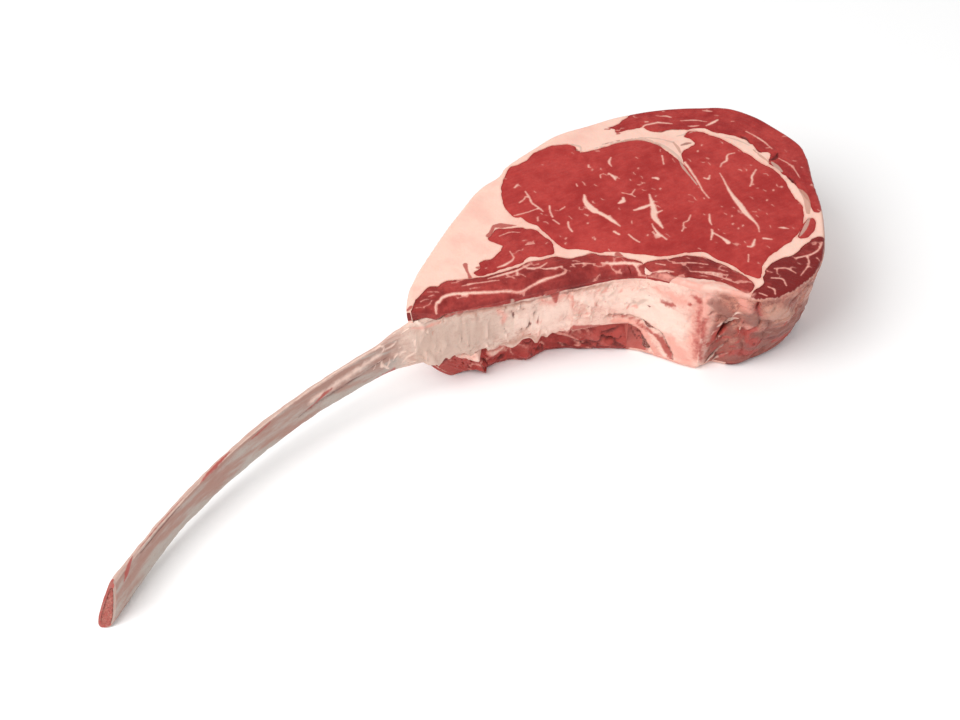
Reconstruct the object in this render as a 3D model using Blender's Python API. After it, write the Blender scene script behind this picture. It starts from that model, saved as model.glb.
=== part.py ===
"""A raw tomahawk steak: a thick bone-in rib steak on its long, cleaned rib.

The steak lies flat on its cut face.  The origin is on that face, under the middle of the
eye muscle.  +X runs along the steak away from the bare rib, +Y towards the fat cover, and
+Z up.  Sizes are in millimetres here and become metres in the meshes.

A steak is a slice through muscles that lie side by side.  So every muscle is one region of
the slice, drawn as an outline on the upper face and carried down through the thickness by
one shared taper.  The fat is what is left of the slice round them.
"""

import functools
import math

import bmesh
import bpy
import numpy as np

MM = 0.001

# The slice as a whole.
THICKNESS = 56.0
GAP = 0.3
RIM_WIDTH, RIM_DEPTH = 2.0, 3.0
SLOPE_WIDTH, SLOPE_DEPTH = 9.0, 6.0
FOOT_WIDTH, FOOT_DEPTH = 2.5, 3.0
WALL_LEVELS = (0, 0.8, 3, 11, 18.5, 20, 34, 50, 52, 53.4, 54.6, 55.5, THICKNESS)
WALL_POINTS, BACK_SHARE = 116, 0.72
REGION_STEP, REGION_LEAST = 6.0, 18
REGION_LEVELS = (4.0, 12.0, 20.0, 38.0)
# Rims get narrower towards the sharp left end, from this distance to this share of the full size.
END_REACH, END_RIM = 14.0, 0.1
# How far the tools that cut the slice run past its faces.
PAST = 4.0

# The rib: a flat bone that stands on edge, with its inner face on the front wall.  It is
# thick at its lower edge and thin at its crest.
RIB_LOW, RIB_HIGH = 20.0, 48.0
RIB_THICKNESS, RIB_CREST = 8.2, 3.0
# Its lower and upper edge by distance from the tip.
RIB_PROFILE = (
    (0, 0, 25.5), (20, 0.8, 24.6), (50, 5.6, 25.6), (70, 7.6, 27), (100, 9.8, 29.8),
    (120, 11.5, 31.8), (150, 14.6, 35), (170, 16.3, 38), (190, 18.6, 42), (203, RIB_LOW, 46.5),
    (215, RIB_LOW, RIB_HIGH),
)
RIB_ARC_CENTRE = (-146.0, -301.0)
RIB_ARC_RADIUS = 293.0
RIB_TIP_X, RIB_ARC_END_X, RIB_INNER_END_X = -325.0, -165.0, -62.3
RIB_STATIONS, RIB_SIDES = 46, 16
# Its section: how much squarer than an oval it is.
RIB_SQUARE_ACROSS, RIB_SQUARE_UP = 0.6, 0.8
# The cut end: how far its back runs out ahead of its face, and its top lies back, per length,
# and the distance over which the rings turn to the cut.
CUT_SLANT, CUT_LEAN, CUT_REACH = 0.45, 0.28, 30.0
CORTEX, CORTEX_AT_CREST = 1.2, 4.0
MARROW_DEPTH, MARROW_RECESS = 14.0, 0.25

# The strip of meat under the rib stands back from the rib's face, and nothing covers the face.
UNDERCUT_HEIGHT = 19.7
FACE_CLEARANCE = 20.0

# Outline of the upper face: from the sharp front corner round the right and the back to the
# left end, then along the front wall back to the corner.
CORNER = (-14.3, -65.0)
LEFT_END = (-145.0, -9.5)
BACK_EDGE = (
    CORNER, (-4, -75), (4, -83.5), (14, -87), (26, -86), (38, -82), (50, -72.5),
    (61, -58), (70, -43), (78, -25), (86, -9), (88, 2), (85, 18), (81, 31), (73, 43),
    (60, 51), (42, 59.5), (22, 65), (4, 67), (-16, 68.5), (-32, 65), (-50, 60),
    (-58, 55), (-72, 51), (-96, 36), (-117, 21), (-134, 7), (-142, -4), LEFT_END,
)
FRONT_EDGE = (
    LEFT_END, (-130, -13.2), (-115, -16.5), (-100, -19.5), (-85, -22.5), (-68, -26),
    (-50, -31), (-42, -34), (-33, -39.5), (-26, -49), (-20, -58), CORNER,
)

# How far the lower face lies inside the upper one, by direction from the slice's middle.
TAPER_CENTRE = (-10.0, 0.0)
TAPER_POWER = 1.3
LOWER_INSET = (
    (0, 8), (45, 7), (90, 7), (135, 8), (165, 11), (180, 13), (184.5, 13), (190, 4), (197, 0),
    (266, 0), (275, 11), (287, 16), (302, 13), (320, 6), (340, 6),
)
# The sharp left end is drawn in further, the lower the more: by how much, with which power of
# the depth, and between which places along X it fades out.
END_INSET, END_POWER, END_FADE = 12.0, 4.0, (-138.0, -104.0)
# How far the lowest part of the front wall stands back, by place along X.
UNDERCUT = ((-145, 0), (-121, 1), (-116, -1.5), (-110, 3.5), (-101, 6.5), (-91, 7), (-84, 4.5),
            (-72, 8.5), (-62, 7), (-57, 4.5), (-48, 2.5), (-34, 0), (-14, 0))
# How much of the front rim's long slope is there, by place along X.
SLOPE_SHARE = ((-145, 0), (-122, 1), (-42, 1), (-27, 0))

# Regions of the slice on the upper face.  Where a region reaches a wall, its outline runs
# on past it, and the wall cuts it off.
EYE = (
    (-67, 30), (-63, 43), (-54, 53), (-43, 57.5), (-28, 61), (-15, 58.5), (-12.5, 50),
    (0, 47.5), (15, 45), (23.5, 38), (24, 22), (28, 16), (34, 24.5), (41.5, 27),
    (42, 35), (50, 33), (56, 23), (60, 6), (64, -10), (62, -27), (59, -42),
    (50, -52.5), (33, -59.5), (18, -66), (12, -71.5), (7, -62), (1, -46), (-11, -38.5),
    (-28, -29), (-45, -17.5), (-57, -7), (-59.5, 8), (-64, 22),
)
CAP = (
    (11, 82), (11, 60), (13, 55.5), (21, 54), (30, 47), (41, 42), (50, 38.5), (57, 30.5),
    (63, 23.5), (67, 14), (67, 6), (69.5, 1), (67.5, -6), (68, -18), (67, -30),
    (65.5, -42), (69, -48), (86, -48), (106, -10), (104, 40), (70, 84), (30, 94),
)
TAIL = (
    (-104, -2.5), (-98, -4.8), (-87, -6.5), (-76, -6.3), (-66, -8), (-62, -4),
    (-61.5, 2), (-63, 9), (-68, 15.5), (-76, 19.5), (-83, 18), (-85, 14), (-82, 8),
    (-87, 4.5), (-95, 4.5), (-100, 0.5),
)
INNER = (
    (-29.5, -37), (-20, -39.5), (-12, -42), (-6, -44.5), (-1.5, -50), (3, -57.5), (5, -65),
    (6, -72), (4, -76.5), (0.5, -77), (-1.5, -71), (-6, -64), (-12.5, -57.5),
    (-17.5, -51.5), (-20.5, -45), (-27, -43.3), (-30.3, -40.5),
)
END = (
    (3, -81.5), (8, -79), (12, -77.5), (15.5, -73), (22, -69.5), (30, -68.5), (38, -68.5),
    (46, -66), (52, -65), (57, -67), (70, -80), (46, -104), (12, -108), (-2, -96),
)
SIDE = (
    (47, -58.5), (52, -55.5), (58, -51.5), (61.5, -51.8), (59, -56), (52, -60.5),
    (47.5, -60.7),
)
RIB_BAND = (
    (-160, -4), (-148, -7.5), (-140, -7), (-134, -2.5), (-127, 0.2), (-118, -0.8),
    (-108, -5), (-98, -7.5), (-85, -9.6), (-72, -10.7), (-62, -13.6), (-50, -19),
    (-42, -24), (-35, -29.5), (-31.3, -34.5), (-32, -41), (-28.5, -45.5), (-22.5, -47),
    (-19.5, -52), (-24, -62), (-38, -70), (-80, -60), (-120, -50), (-160, -44),
)
STRIP_END_X = -37.0
BLOCK = (
    (-60.5, -19.5), (-50, -23.5), (-42, -27.2), (-35, -31.7), (-29, -36.5), (-22, -41),
    (-16, -49), (-11, -56), (-4.5, -62.5), (0, -71), (1.5, -78), (4.5, -82.5), (4, -95),
    (-12, -96), (-40, -74), (-66, -52),
)
# Unevenness of the cut walls: size, length of a wave along the wall, and up it.
WAVES = ((0.4, 60.0, 95.0), (0.25, 27.0, 60.0), (0.15, 13.0, 40.0))

# Colour, and roughness, of each finish.
EYE_RED = ((0.40, 0.045, 0.040), 0.38)
OUTER_RED = ((0.36, 0.035, 0.032), 0.38)
DARK_RED = ((0.27, 0.022, 0.022), 0.40)
FAT_PINK = ((0.82, 0.53, 0.44), 0.45)
PALE_FAT = ((0.78, 0.55, 0.47), 0.42)
BONE_GREY = ((0.62, 0.52, 0.46), 0.42)
MARROW_RED = ((0.42, 0.10, 0.08), 0.60)


def spans(a, b, c, d):
    """Points of the Catmull-Rom curve from each b to its c; a and d are their neighbours."""
    t = np.linspace(0, 1, 24, endpoint=False)[None, :, None]
    a, b, c, d = (p[:, None, :] for p in (a, b, c, d))
    curve = 0.5 * (2 * b + (c - a) * t + (2 * a - 5 * b + 4 * c - d) * t ** 2
                   + (3 * b - a - 3 * c + d) * t ** 3)
    return curve.reshape(-1, 2)


def even_steps(curve, count):
    """The curve again, as count + 1 points at even distances along it."""
    length = np.concatenate([[0], np.cumsum(np.hypot(*np.diff(curve, axis=0).T))])
    at = np.linspace(0, length[-1], count + 1)
    return np.column_stack([np.interp(at, length, curve[:, i]) for i in range(2)])


def smooth_open(points, count):
    """A smooth curve through the points, from the first to the last."""
    p = np.array(points, float)
    p = np.vstack([2 * p[0] - p[1], p, 2 * p[-1] - p[-2]])
    return even_steps(np.vstack([spans(p[:-3], p[1:-2], p[2:-1], p[3:]), p[-2]]), count)


def smooth_closed(points):
    """A smooth closed curve through the points, counter-clockwise, without a repeat."""
    p = np.array(points, float)
    near = [np.roll(p, shift, axis=0) for shift in (1, 0, -1, -2)]
    curve = np.vstack([spans(*near), p[0]])
    around = np.hypot(*np.diff(curve, axis=0).T).sum()
    loop = even_steps(curve, max(REGION_LEAST, round(around / REGION_STEP)))[:-1]
    return loop if signed_area(loop) > 0 else loop[::-1]


def signed_area(loop):
    """Area inside a closed outline, above zero when it runs counter-clockwise."""
    x, y = loop.T
    return 0.5 * np.sum(x * np.roll(y, -1) - np.roll(x, -1) * y)


def inward(loop):
    """Unit vectors that point into a counter-clockwise outline."""
    along = np.roll(loop, -1, axis=0) - np.roll(loop, 1, axis=0)
    along /= np.hypot(*along.T)[:, None]
    return np.column_stack([-along[:, 1], along[:, 0]])


def slice_outline():
    """The outline of the upper face, and which of its points lie on the front wall."""
    behind = round(WALL_POINTS * BACK_SHARE)
    back = smooth_open(BACK_EDGE, behind)
    front = smooth_open(FRONT_EDGE, WALL_POINTS - behind)
    loop = np.vstack([back[:-1], front[:-1]])
    on_front = np.arange(len(loop)) >= len(back) - 1
    return loop, on_front


@functools.cache
def reach_by_angle():
    """Angles and distances of the upper face's outline, seen from the taper's centre."""
    loop, _ = slice_outline()
    away = loop - TAPER_CENTRE
    angle = np.degrees(np.arctan2(away[:, 1], away[:, 0])) % 360
    order = np.argsort(angle)
    return angle[order], np.hypot(*away.T)[order]


def taper(points, z):
    """Where points of the upper face come to lie at height z.

    Each moves towards the middle by the lower face's inset in its direction, in full at
    the outline and less further in, and more the lower it is.  The sharp left end moves
    further.
    """
    away = points - TAPER_CENTRE
    distance = np.maximum(np.hypot(*away.T), 1e-6)
    angle = np.degrees(np.arctan2(away[:, 1], away[:, 0])) % 360
    reach = np.interp(angle, *reach_by_angle(), period=360)
    inset = np.interp(angle, *np.array(LOWER_INSET, float).T, period=360)
    depth = max(0.0, 1 - z / THICKNESS)
    near_end = np.interp(points[:, 0], END_FADE, (1, 0))
    move = inset * np.minimum(distance / reach, 1.2) ** 1.5 * depth ** TAPER_POWER
    move += END_INSET * near_end * depth ** END_POWER
    return points - away * (move / distance)[:, None]


def quarter_round(z, level, depth):
    """Share of a rim's width taken off at height z, from 0 at level - depth to 1."""
    rise = np.clip((z - (level - depth)) / depth, 0, 1)
    return 1 - np.sqrt(1 - rise ** 2)


def mesh_object(name, rings):
    """A closed solid from rings of points, each bridged to the next, with both ends filled.

    Every bridge is split into triangles the same way, so two walls that run side by side
    keep their distance.
    """
    mesh = bmesh.new()
    loops = [[mesh.verts.new(p * MM) for p in ring] for ring in rings]
    for low, high in zip(loops, loops[1:]):
        for i in range(len(low)):
            j = (i + 1) % len(low)
            mesh.faces.new((low[i], low[j], high[j]))
            mesh.faces.new((low[i], high[j], high[i]))
    mesh.faces.new(loops[0][::-1])
    mesh.faces.new(loops[-1])
    bmesh.ops.recalc_face_normals(mesh, faces=mesh.faces)
    data = bpy.data.meshes.new(name)
    mesh.to_mesh(data)
    mesh.free()
    made = bpy.data.objects.new(name, data)
    bpy.context.scene.collection.objects.link(made)
    return made


def at_height(loop, z):
    """A plan outline as points at height z."""
    return np.column_stack([loop, np.full(len(loop), z)])


def unevenness(loop, z):
    """How far the wall swells out at height z: a few slow waves that lean along it."""
    steps = np.hypot(*(np.roll(loop, -1, axis=0) - loop).T)
    along = np.cumsum(steps) / steps.sum()
    swell = np.zeros(len(loop))
    for size, wave, rise in WAVES:
        turns = round(steps.sum() / wave)
        swell += size * np.sin(2 * np.pi * (turns * along + z / rise))
    return swell


def whole_slice(name):
    """The steak's meat and fat as one solid: rounded rims, tapering walls, and the step in
    the front wall where the strip under the rib stands back."""
    loop, on_front = slice_outline()
    slope = np.interp(loop[:, 0], *np.array(SLOPE_SHARE, float).T) * on_front
    width = RIM_WIDTH + (SLOPE_WIDTH - RIM_WIDTH) * slope
    depth = RIM_DEPTH + (SLOPE_DEPTH - RIM_DEPTH) * slope
    step = np.interp(loop[:, 0], *np.array(UNDERCUT, float).T) * on_front
    corner = np.clip(np.hypot(*(loop - LEFT_END).T) / END_REACH, END_RIM, 1)
    rings = []
    for z in WALL_LEVELS:
        rim = width * quarter_round(z, THICKNESS, depth)
        rim += FOOT_WIDTH * quarter_round(FOOT_DEPTH - z, FOOT_DEPTH, FOOT_DEPTH)
        rim -= unevenness(loop, z)
        back = step * float(z < UNDERCUT_HEIGHT)
        place = taper(loop, z) + inward(loop) * (rim * corner)[:, None]
        place[:, 1] += back
        rings.append(at_height(place, z))
    return mesh_object(name, rings)


def region(name, points, grow=0.0, low=-PAST, high=THICKNESS + PAST):
    """A region of the slice as a prism that follows the taper, wider by grow all round.

    All regions bend at the same heights, so neighbours keep their distance.
    """
    loop = smooth_closed(points)
    loop = loop - inward(loop) * grow
    heights = [low, *(z for z in REGION_LEVELS if low + GAP < z < high - GAP), high]
    return mesh_object(name, [at_height(taper(loop, z), z) for z in heights])


def slab_space(left, right, top):
    """A block that takes away everything below top between two places along X."""
    outline = np.array([(left, -120), (right, -120), (right, 120), (left, 120)], float)
    return mesh_object("space", [at_height(outline, z) for z in (-PAST, top)])


def combine(target, tools, operation):
    """Applies one Boolean of target with all the tools together, and removes them."""
    group = bpy.data.collections.new("tools")
    for tool in tools:
        group.objects.link(tool)
    modifier = target.modifiers.new(operation.lower(), "BOOLEAN")
    modifier.operation = operation
    modifier.solver = "EXACT"
    modifier.operand_type = "COLLECTION"
    modifier.collection = group
    graph = bpy.context.evaluated_depsgraph_get()
    made = bpy.data.meshes.new_from_object(target.evaluated_get(graph))
    target.modifiers.clear()
    target.data = made
    for tool in tools:
        bpy.data.objects.remove(tool)
    bpy.data.collections.remove(group)


def keep_largest(target):
    """Drops the loose scraps that a cut left, and keeps the main body."""
    mesh = bmesh.new()
    mesh.from_mesh(target.data)
    unseen = set(mesh.verts)
    bodies = []
    while unseen:
        body = {unseen.pop()}
        edge = list(body)
        while edge:
            near = {e.other_vert(v) for v in edge for e in v.link_edges} - body
            body |= near
            edge = list(near)
        unseen -= body
        bodies.append(body)
    main = max(bodies, key=len)
    bmesh.ops.delete(mesh, geom=[v for b in bodies if b is not main for v in b],
                     context="VERTS")
    mesh.to_mesh(target.data)
    mesh.free()
    target.data.update()


def cut_region(name, points, takes=(), low=-PAST, high=THICKNESS + PAST):
    """The part of the slice inside a region, less what the named tools take from it."""
    piece = whole_slice(name)
    combine(piece, [region("outline", points, 0.0, low, high)], "INTERSECT")
    if takes:
        combine(piece, [make() for make in takes], "DIFFERENCE")
    keep_largest(piece)
    return piece


def rib_path(count):
    """Plan points along the rib's inner face: a circular arc, then the front wall."""
    x = np.linspace(RIB_TIP_X, RIB_ARC_END_X, 40)
    cx, cy = RIB_ARC_CENTRE
    arc = np.column_stack([x, cy + np.sqrt(RIB_ARC_RADIUS ** 2 - (x - cx) ** 2)])
    wall = np.array([p for p in FRONT_EDGE if LEFT_END[0] < p[0] <= -50], float)
    whole = smooth_open(np.vstack([arc[::6], [[-154, -8.3], [-143, -10.2]], wall]), 900)
    inside = whole[whole[:, 0] <= RIB_INNER_END_X]
    return even_steps(inside, count)


def rib_section(distance, grow):
    """Section of the rib at a distance from its tip: flat on its inner face, with rounded
    edges, and tapering from its lower edge to its crest.

    The first column is the distance behind the inner face, the second the height.  Grow
    moves it out all round, or in, and then its thin crest most.
    """
    at, lows, highs = np.array(RIB_PROFILE, float).T
    low, high = np.interp(distance, at, lows), np.interp(distance, at, highs)
    turn = np.linspace(0, 2 * np.pi, RIB_SIDES, endpoint=False)
    across = np.sign(np.sin(turn)) * np.abs(np.sin(turn)) ** RIB_SQUARE_ACROSS
    up = np.sign(np.cos(turn)) * np.abs(np.cos(turn)) ** RIB_SQUARE_UP
    bottom = low - grow
    top = high + grow * (1 if grow > 0 else CORTEX_AT_CREST)
    level = bottom + (top - bottom) / 2 * (1 + up)
    climb = np.clip((level - low) / (high - low), 0, 1)
    half = (RIB_THICKNESS + (RIB_CREST - RIB_THICKNESS) * climb) / 2
    return np.column_stack([half + (half + grow) * across, level])


def rib_solid(name, first, last, grow, shrink=0.0, ahead=0.0):
    """The rib between two shares of its length, with its section and its inner end grown.

    Shrink draws the section in by that much all round, and ahead moves the first ring out
    past the cut end.
    """
    path = rib_path(RIB_STATIONS)
    share = np.linspace(0, 1, RIB_STATIONS + 1)
    length = np.hypot(*np.diff(path, axis=0).T).sum()
    keep = (share >= first) & (share <= last)
    along = np.gradient(path, axis=0)
    along /= np.hypot(*along.T)[:, None]
    behind = np.column_stack([-along[:, 1], along[:, 0]])
    rings = []
    inner_end = np.flatnonzero(keep)[-1]
    for i in np.flatnonzero(keep):
        distance = share[i] * length
        section = rib_section(distance, grow - shrink)
        slant = CUT_LEAN * section[:, 1:] - CUT_SLANT * section[:, :1]
        slant = slant * max(0.0, 1 - distance / CUT_REACH) - ahead * float(i == 0)
        slant = slant + grow * float(i == inner_end)
        plan = path[i] + behind[i] * section[:, :1] + along[i] * slant
        rings.append(np.column_stack([plan, section[:, 1]]))
    return mesh_object(name, rings)


def marrow_solid(name, grow=0.0, ahead=0.0):
    """The soft core that shows at the rib's cut end."""
    length = np.hypot(*np.diff(rib_path(RIB_STATIONS), axis=0).T).sum()
    return rib_solid(name, 0.0, MARROW_DEPTH / length, grow, CORTEX + GAP, ahead)


def finish(piece, name, colour, roughness):
    """Gives a piece its material and smooth shading with sharp cut edges."""
    material = bpy.data.materials.new(name)
    material.use_nodes = True
    shader = material.node_tree.nodes["Principled BSDF"]
    shader.inputs["Base Color"].default_value = (*colour, 1)
    shader.inputs["Roughness"].default_value = roughness
    shader.inputs["Metallic"].default_value = 0.0
    piece.data.materials.clear()
    piece.data.materials.append(material)
    piece.data.shade_smooth()
    piece.data.set_sharp_from_angle(angle=math.radians(35))


def clear_scene():
    """Removes whatever the scene holds."""
    for item in list(bpy.data.objects):
        bpy.data.objects.remove(item)


def main():
    """Builds every piece of the steak."""
    clear_scene()

    bone = rib_solid("rib_bone", 0.0, 1.0, 0.0)
    combine(bone, [marrow_solid("core", GAP, PAST)], "DIFFERENCE")
    keep_largest(bone)
    finish(bone, "bone", *BONE_GREY)
    finish(marrow_solid("marrow", 0.0, -MARROW_RECESS), "marrow", *MARROW_RED)

    above_rib = RIB_HIGH + GAP

    def bone_space():
        return rib_solid("space", 0.5, 1.0, GAP)

    def face_space():
        front = smooth_open(FRONT_EDGE, RIB_STATIONS)
        behind = front + (-PAST, RIB_THICKNESS / 2)
        outline = np.vstack([behind, front[::-1] - (PAST, FACE_CLEARANCE)])
        rings = [at_height(outline, z) for z in (RIB_LOW - GAP, above_rib)]
        return mesh_object("space", rings)

    def block_space():
        return region("space", BLOCK, GAP, UNDERCUT_HEIGHT, above_rib)

    def inner_space():
        return region("space", INNER, GAP)

    def band_space():
        return region("space", RIB_BAND, GAP, RIB_HIGH)

    def strip_space():
        return slab_space(-200.0, STRIP_END_X + GAP, RIB_LOW + GAP)

    def past_strip():
        return slab_space(STRIP_END_X, 100.0, RIB_LOW + GAP)

    def end_space():
        return region("space", END, GAP)

    for name, points, finish_as in (
        ("eye_lean", EYE, EYE_RED), ("cap_lean", CAP, OUTER_RED), ("tail_lean", TAIL, OUTER_RED),
        ("inner_lean", INNER, DARK_RED), ("end_lean", END, DARK_RED), ("side_lean", SIDE, OUTER_RED),
    ):
        finish(cut_region(name, points), name, *finish_as)

    band = cut_region("rib_lean", RIB_BAND, (bone_space, face_space, block_space, inner_space),
                      RIB_LOW)
    finish(band, "rib_lean", *DARK_RED)
    low_strip = cut_region("intercostal_lean", RIB_BAND, (past_strip,), -PAST, UNDERCUT_HEIGHT)
    finish(low_strip, "intercostal_lean", *DARK_RED)
    block = cut_region("chine_fat", BLOCK,
                       (band_space, strip_space, inner_space, end_space, bone_space))
    finish(block, "chine_fat", *PALE_FAT)

    cover = whole_slice("cover_fat")
    muscles = (EYE, CAP, TAIL, INNER, END, SIDE, RIB_BAND, BLOCK)
    spaces = [region("space", points, GAP) for points in muscles]
    combine(cover, spaces + [bone_space()], "DIFFERENCE")
    keep_largest(cover)
    finish(cover, "cover_fat", *FAT_PINK)


main()
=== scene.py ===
# %% [markdown]
# # A raw tomahawk steak
#
# The steak is a slice through muscles that lie side by side, with fat between them and a long
# rib at the front. The solids of the part fix where everything is; this script gives them the
# look of real meat. All sizes here are in millimetres and turn into metres in the meshes.

import bpy
import numpy as np
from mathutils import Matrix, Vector
from mathutils.geometry import delaunay_2d_cdt


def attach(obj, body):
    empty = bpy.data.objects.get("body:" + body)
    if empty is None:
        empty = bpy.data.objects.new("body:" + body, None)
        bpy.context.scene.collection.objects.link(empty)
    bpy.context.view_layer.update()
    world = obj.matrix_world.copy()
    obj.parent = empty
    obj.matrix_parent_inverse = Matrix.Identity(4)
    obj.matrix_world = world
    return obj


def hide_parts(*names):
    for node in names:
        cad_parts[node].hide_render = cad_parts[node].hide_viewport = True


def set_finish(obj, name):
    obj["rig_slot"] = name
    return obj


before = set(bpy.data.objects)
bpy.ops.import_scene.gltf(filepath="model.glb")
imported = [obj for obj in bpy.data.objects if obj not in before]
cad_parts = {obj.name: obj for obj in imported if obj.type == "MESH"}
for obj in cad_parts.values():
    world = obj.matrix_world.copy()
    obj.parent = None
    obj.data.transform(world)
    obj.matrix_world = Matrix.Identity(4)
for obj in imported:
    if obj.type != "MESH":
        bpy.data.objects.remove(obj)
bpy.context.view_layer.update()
print("nodes of the part:", len(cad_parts))

MM = 0.001
THICK = 56.0
# A point outside every stroke counts as this deep in one, and a stroke's edge is this soft.
OUTSIDE_STROKES, EDGE_SOFT = -8.0, 0.2

# %% [markdown]
# ## Curves and unevenness
#
# Everything in the slice is drawn as outlines and strokes. A smooth curve through a few points
# gives each one, and a seeded noise makes it waver as tissue does.


# %% Smooth curves
def smooth(points, step=1.0, closed=False):
    """A Catmull-Rom curve: between points b and c, with neighbours a and d, it is the cubic
    through b and c whose slopes are (c - a)/2 and (d - b)/2. It comes back as points at even
    distances of about one step."""
    p = np.array(points, float)
    if closed:
        p = np.vstack([p[-1], p, p[0], p[1]])
    else:
        p = np.vstack([2 * p[0] - p[1], p, 2 * p[-1] - p[-2]])
    t = np.linspace(0, 1, 24, endpoint=False)[None, :, None]
    a, b, c, d = (q[:, None, :] for q in (p[:-3], p[1:-2], p[2:-1], p[3:]))
    curve = 0.5 * (2 * b + (c - a) * t + (2 * a - 5 * b + 4 * c - d) * t ** 2
                   + (3 * b - a - 3 * c + d) * t ** 3)
    curve = np.vstack([curve.reshape(-1, p.shape[1]), p[-2]])
    length = np.r_[0, np.cumsum(np.linalg.norm(np.diff(curve, axis=0), axis=1))]
    at = np.linspace(0, length[-1], max(3, round(length[-1] / step) + 1))
    even = np.column_stack([np.interp(at, length, k) for k in curve.T])
    return even[:-1] if closed else even


print("a curve through three points:", len(smooth(((0, 0), (10, 5), (20, 0)))), "points")


# %% Noise
def noise(points, size, seed=0):
    """Smooth random values from -1 to 1: every corner of a lattice with cells of this size has
    a hashed value, and a point blends its cell's corners with the weight 3t^2 - 2t^3."""
    q = np.asarray(points, float) / size
    cell = np.floor(q).astype(np.int64)
    t = q - cell
    t = t * t * (3 - 2 * t)
    primes = np.array([73856093, 19349663, 83492791])[:q.shape[1]]
    total = np.zeros(len(q))
    for corner in np.ndindex(*(2,) * q.shape[1]):
        h = ((cell + corner) * primes).sum(1) + seed * 668265263
        h = (h ^ (h >> 13)) * 1274126177 & 0xFFFFFFFF
        h = (h ^ (h >> 16)) * 2246822519 & 0xFFFFFFFF
        weight = np.where(corner, t, 1 - t).prod(1)
        total += weight * ((h >> 8 & 0xFFFF) / 32767.5 - 1)
    return total


def layered(points, size, seed=0, layers=3):
    """Noise plus the same at half the size and half the strength, and so on."""
    return sum(noise(points, size / 2 ** k, seed + k) / 2 ** k for k in range(layers))


print("noise at two places:", noise(np.array(((0.0, 0.0), (3.0, 1.0))), 2.0).round(2))


# %% Strokes, and how deep a point lies in them
def to_segments(points, start, along):
    """For each point and each segment: the share t of the way along it where the point's foot
    falls, (point - start) . along / along^2 held to 0 to 1, and the distance to that foot."""
    away = points[:, None] - start[None]
    t = np.clip((away * along).sum(2) / np.maximum((along ** 2).sum(1), 1e-9), 0, 1)
    return t, np.linalg.norm(away - t[..., None] * along, axis=2)


def inside_strokes(points, strokes, least=OUTSIDE_STROKES):
    """How deep points lie inside painted strokes: half the stroke's width there, less the
    distance to its line, over the stroke's softness. So -1 to 1 is its soft edge."""
    field = np.full(len(points), least)
    for line, width, soft in strokes:
        pad = width.max() - least * soft
        near = np.flatnonzero(np.all((points > line.min(0) - pad)
                                     & (points < line.max(0) + pad), axis=1))
        along = np.diff(line, axis=0)
        for part in np.array_split(near, len(near) // 4000 + 1):
            t, gap = to_segments(points[part], line[:-1], along)
            half = 0.5 * (width[:-1] + np.diff(width) * t)
            if part.size:
                field[part] = np.maximum(field[part], ((half - gap) / soft).max(1))
    return field


def stroke(widths, *points, step=0.8, soft=EDGE_SOFT, shift=0.0):
    """A painted stroke: a smooth line, its width at each point of it, and how soft its edge
    is. Shift moves it along the first coordinate."""
    line = smooth(points, step) + (shift, 0)
    share = np.linspace(0, 1, len(line))
    widths = np.atleast_1d(np.array(widths, float))
    return line, np.interp(share, np.linspace(0, 1, len(widths)), widths), soft


def strokes_of(rows, shift=0.0, scale=1.0):
    """Strokes from rows of (widths, points..., softness), where the softness may be left out.
    A scale stretches the points' first coordinate, and then a shift moves it."""
    made = []
    for widths, *points in rows:
        soft = points.pop() if np.isscalar(points[-1]) else EDGE_SOFT
        made.append(stroke(widths, *[(u * scale, v) for u, v in points], soft=soft, shift=shift))
    return made


trial = stroke((0, 4, 0), (0, 0), (10, 0), (20, 0))
print("depth in a stroke, at its middle and beside it:",
      inside_strokes(np.array(((10.0, 0.0), (10.0, 3.0))), [trial]).round(2))

# %% [markdown]
# ## The slice
#
# The upper face's outline runs from the sharp front corner round the right and the back to the
# left end, and returns along the front wall. The lower face lies a little inside the upper one,
# since a steak that lies flat leans back under its own cut edge.

# %% Outline of the slice
CORNER, LEFT_END = (-14.3, -65.0), (-145.0, -9.5)
BACK_EDGE = (
    CORNER, (-4, -75), (4, -83.5), (14, -87), (26, -86), (38, -82), (50, -72.5),
    (61, -58), (70, -43), (78, -25), (86, -9), (88, 2), (85, 18), (81, 31), (73, 43),
    (60, 51), (42, 59.5), (22, 65), (4, 67), (-16, 68.5), (-32, 65), (-50, 60),
    (-58, 55), (-72, 51), (-96, 36), (-117, 21), (-134, 7), (-142, -4), LEFT_END,
)
FRONT_EDGE = (
    LEFT_END, (-130, -13.2), (-115, -16.5), (-100, -19.5), (-85, -22.5), (-68, -26),
    (-50, -31), (-42, -34), (-33, -39.5), (-26, -49), (-20, -58), CORNER,
)
MIDDLE = np.array([-10.0, 0.0])
LOWER_INSET = np.array((
    (0, 8), (45, 7), (90, 7), (135, 8), (165, 11), (180, 13), (184.5, 13), (190, 4), (197, 0),
    (266, 0), (275, 11), (287, 16), (302, 13), (320, 6), (340, 6),
), float).T
END_INSET, END_POWER, END_FADE = 12.0, 4.0, (-138.0, -104.0)
UNDERCUT = np.array((
    (-145, 0), (-121, 1), (-116, -1.5), (-110, 3.5), (-101, 6.5), (-91, 7), (-84, 4.5),
    (-72, 8.5), (-62, 7), (-57, 4.5), (-48, 2.5), (-34, 0), (-14, 0),
), float).T
UNDERCUT_TOP, UNDERCUT_REACH = 19.7, 14.0
SLOPE = np.array(((-145, 0), (-122, 1), (-42, 1), (-27, 0)), float).T

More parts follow.
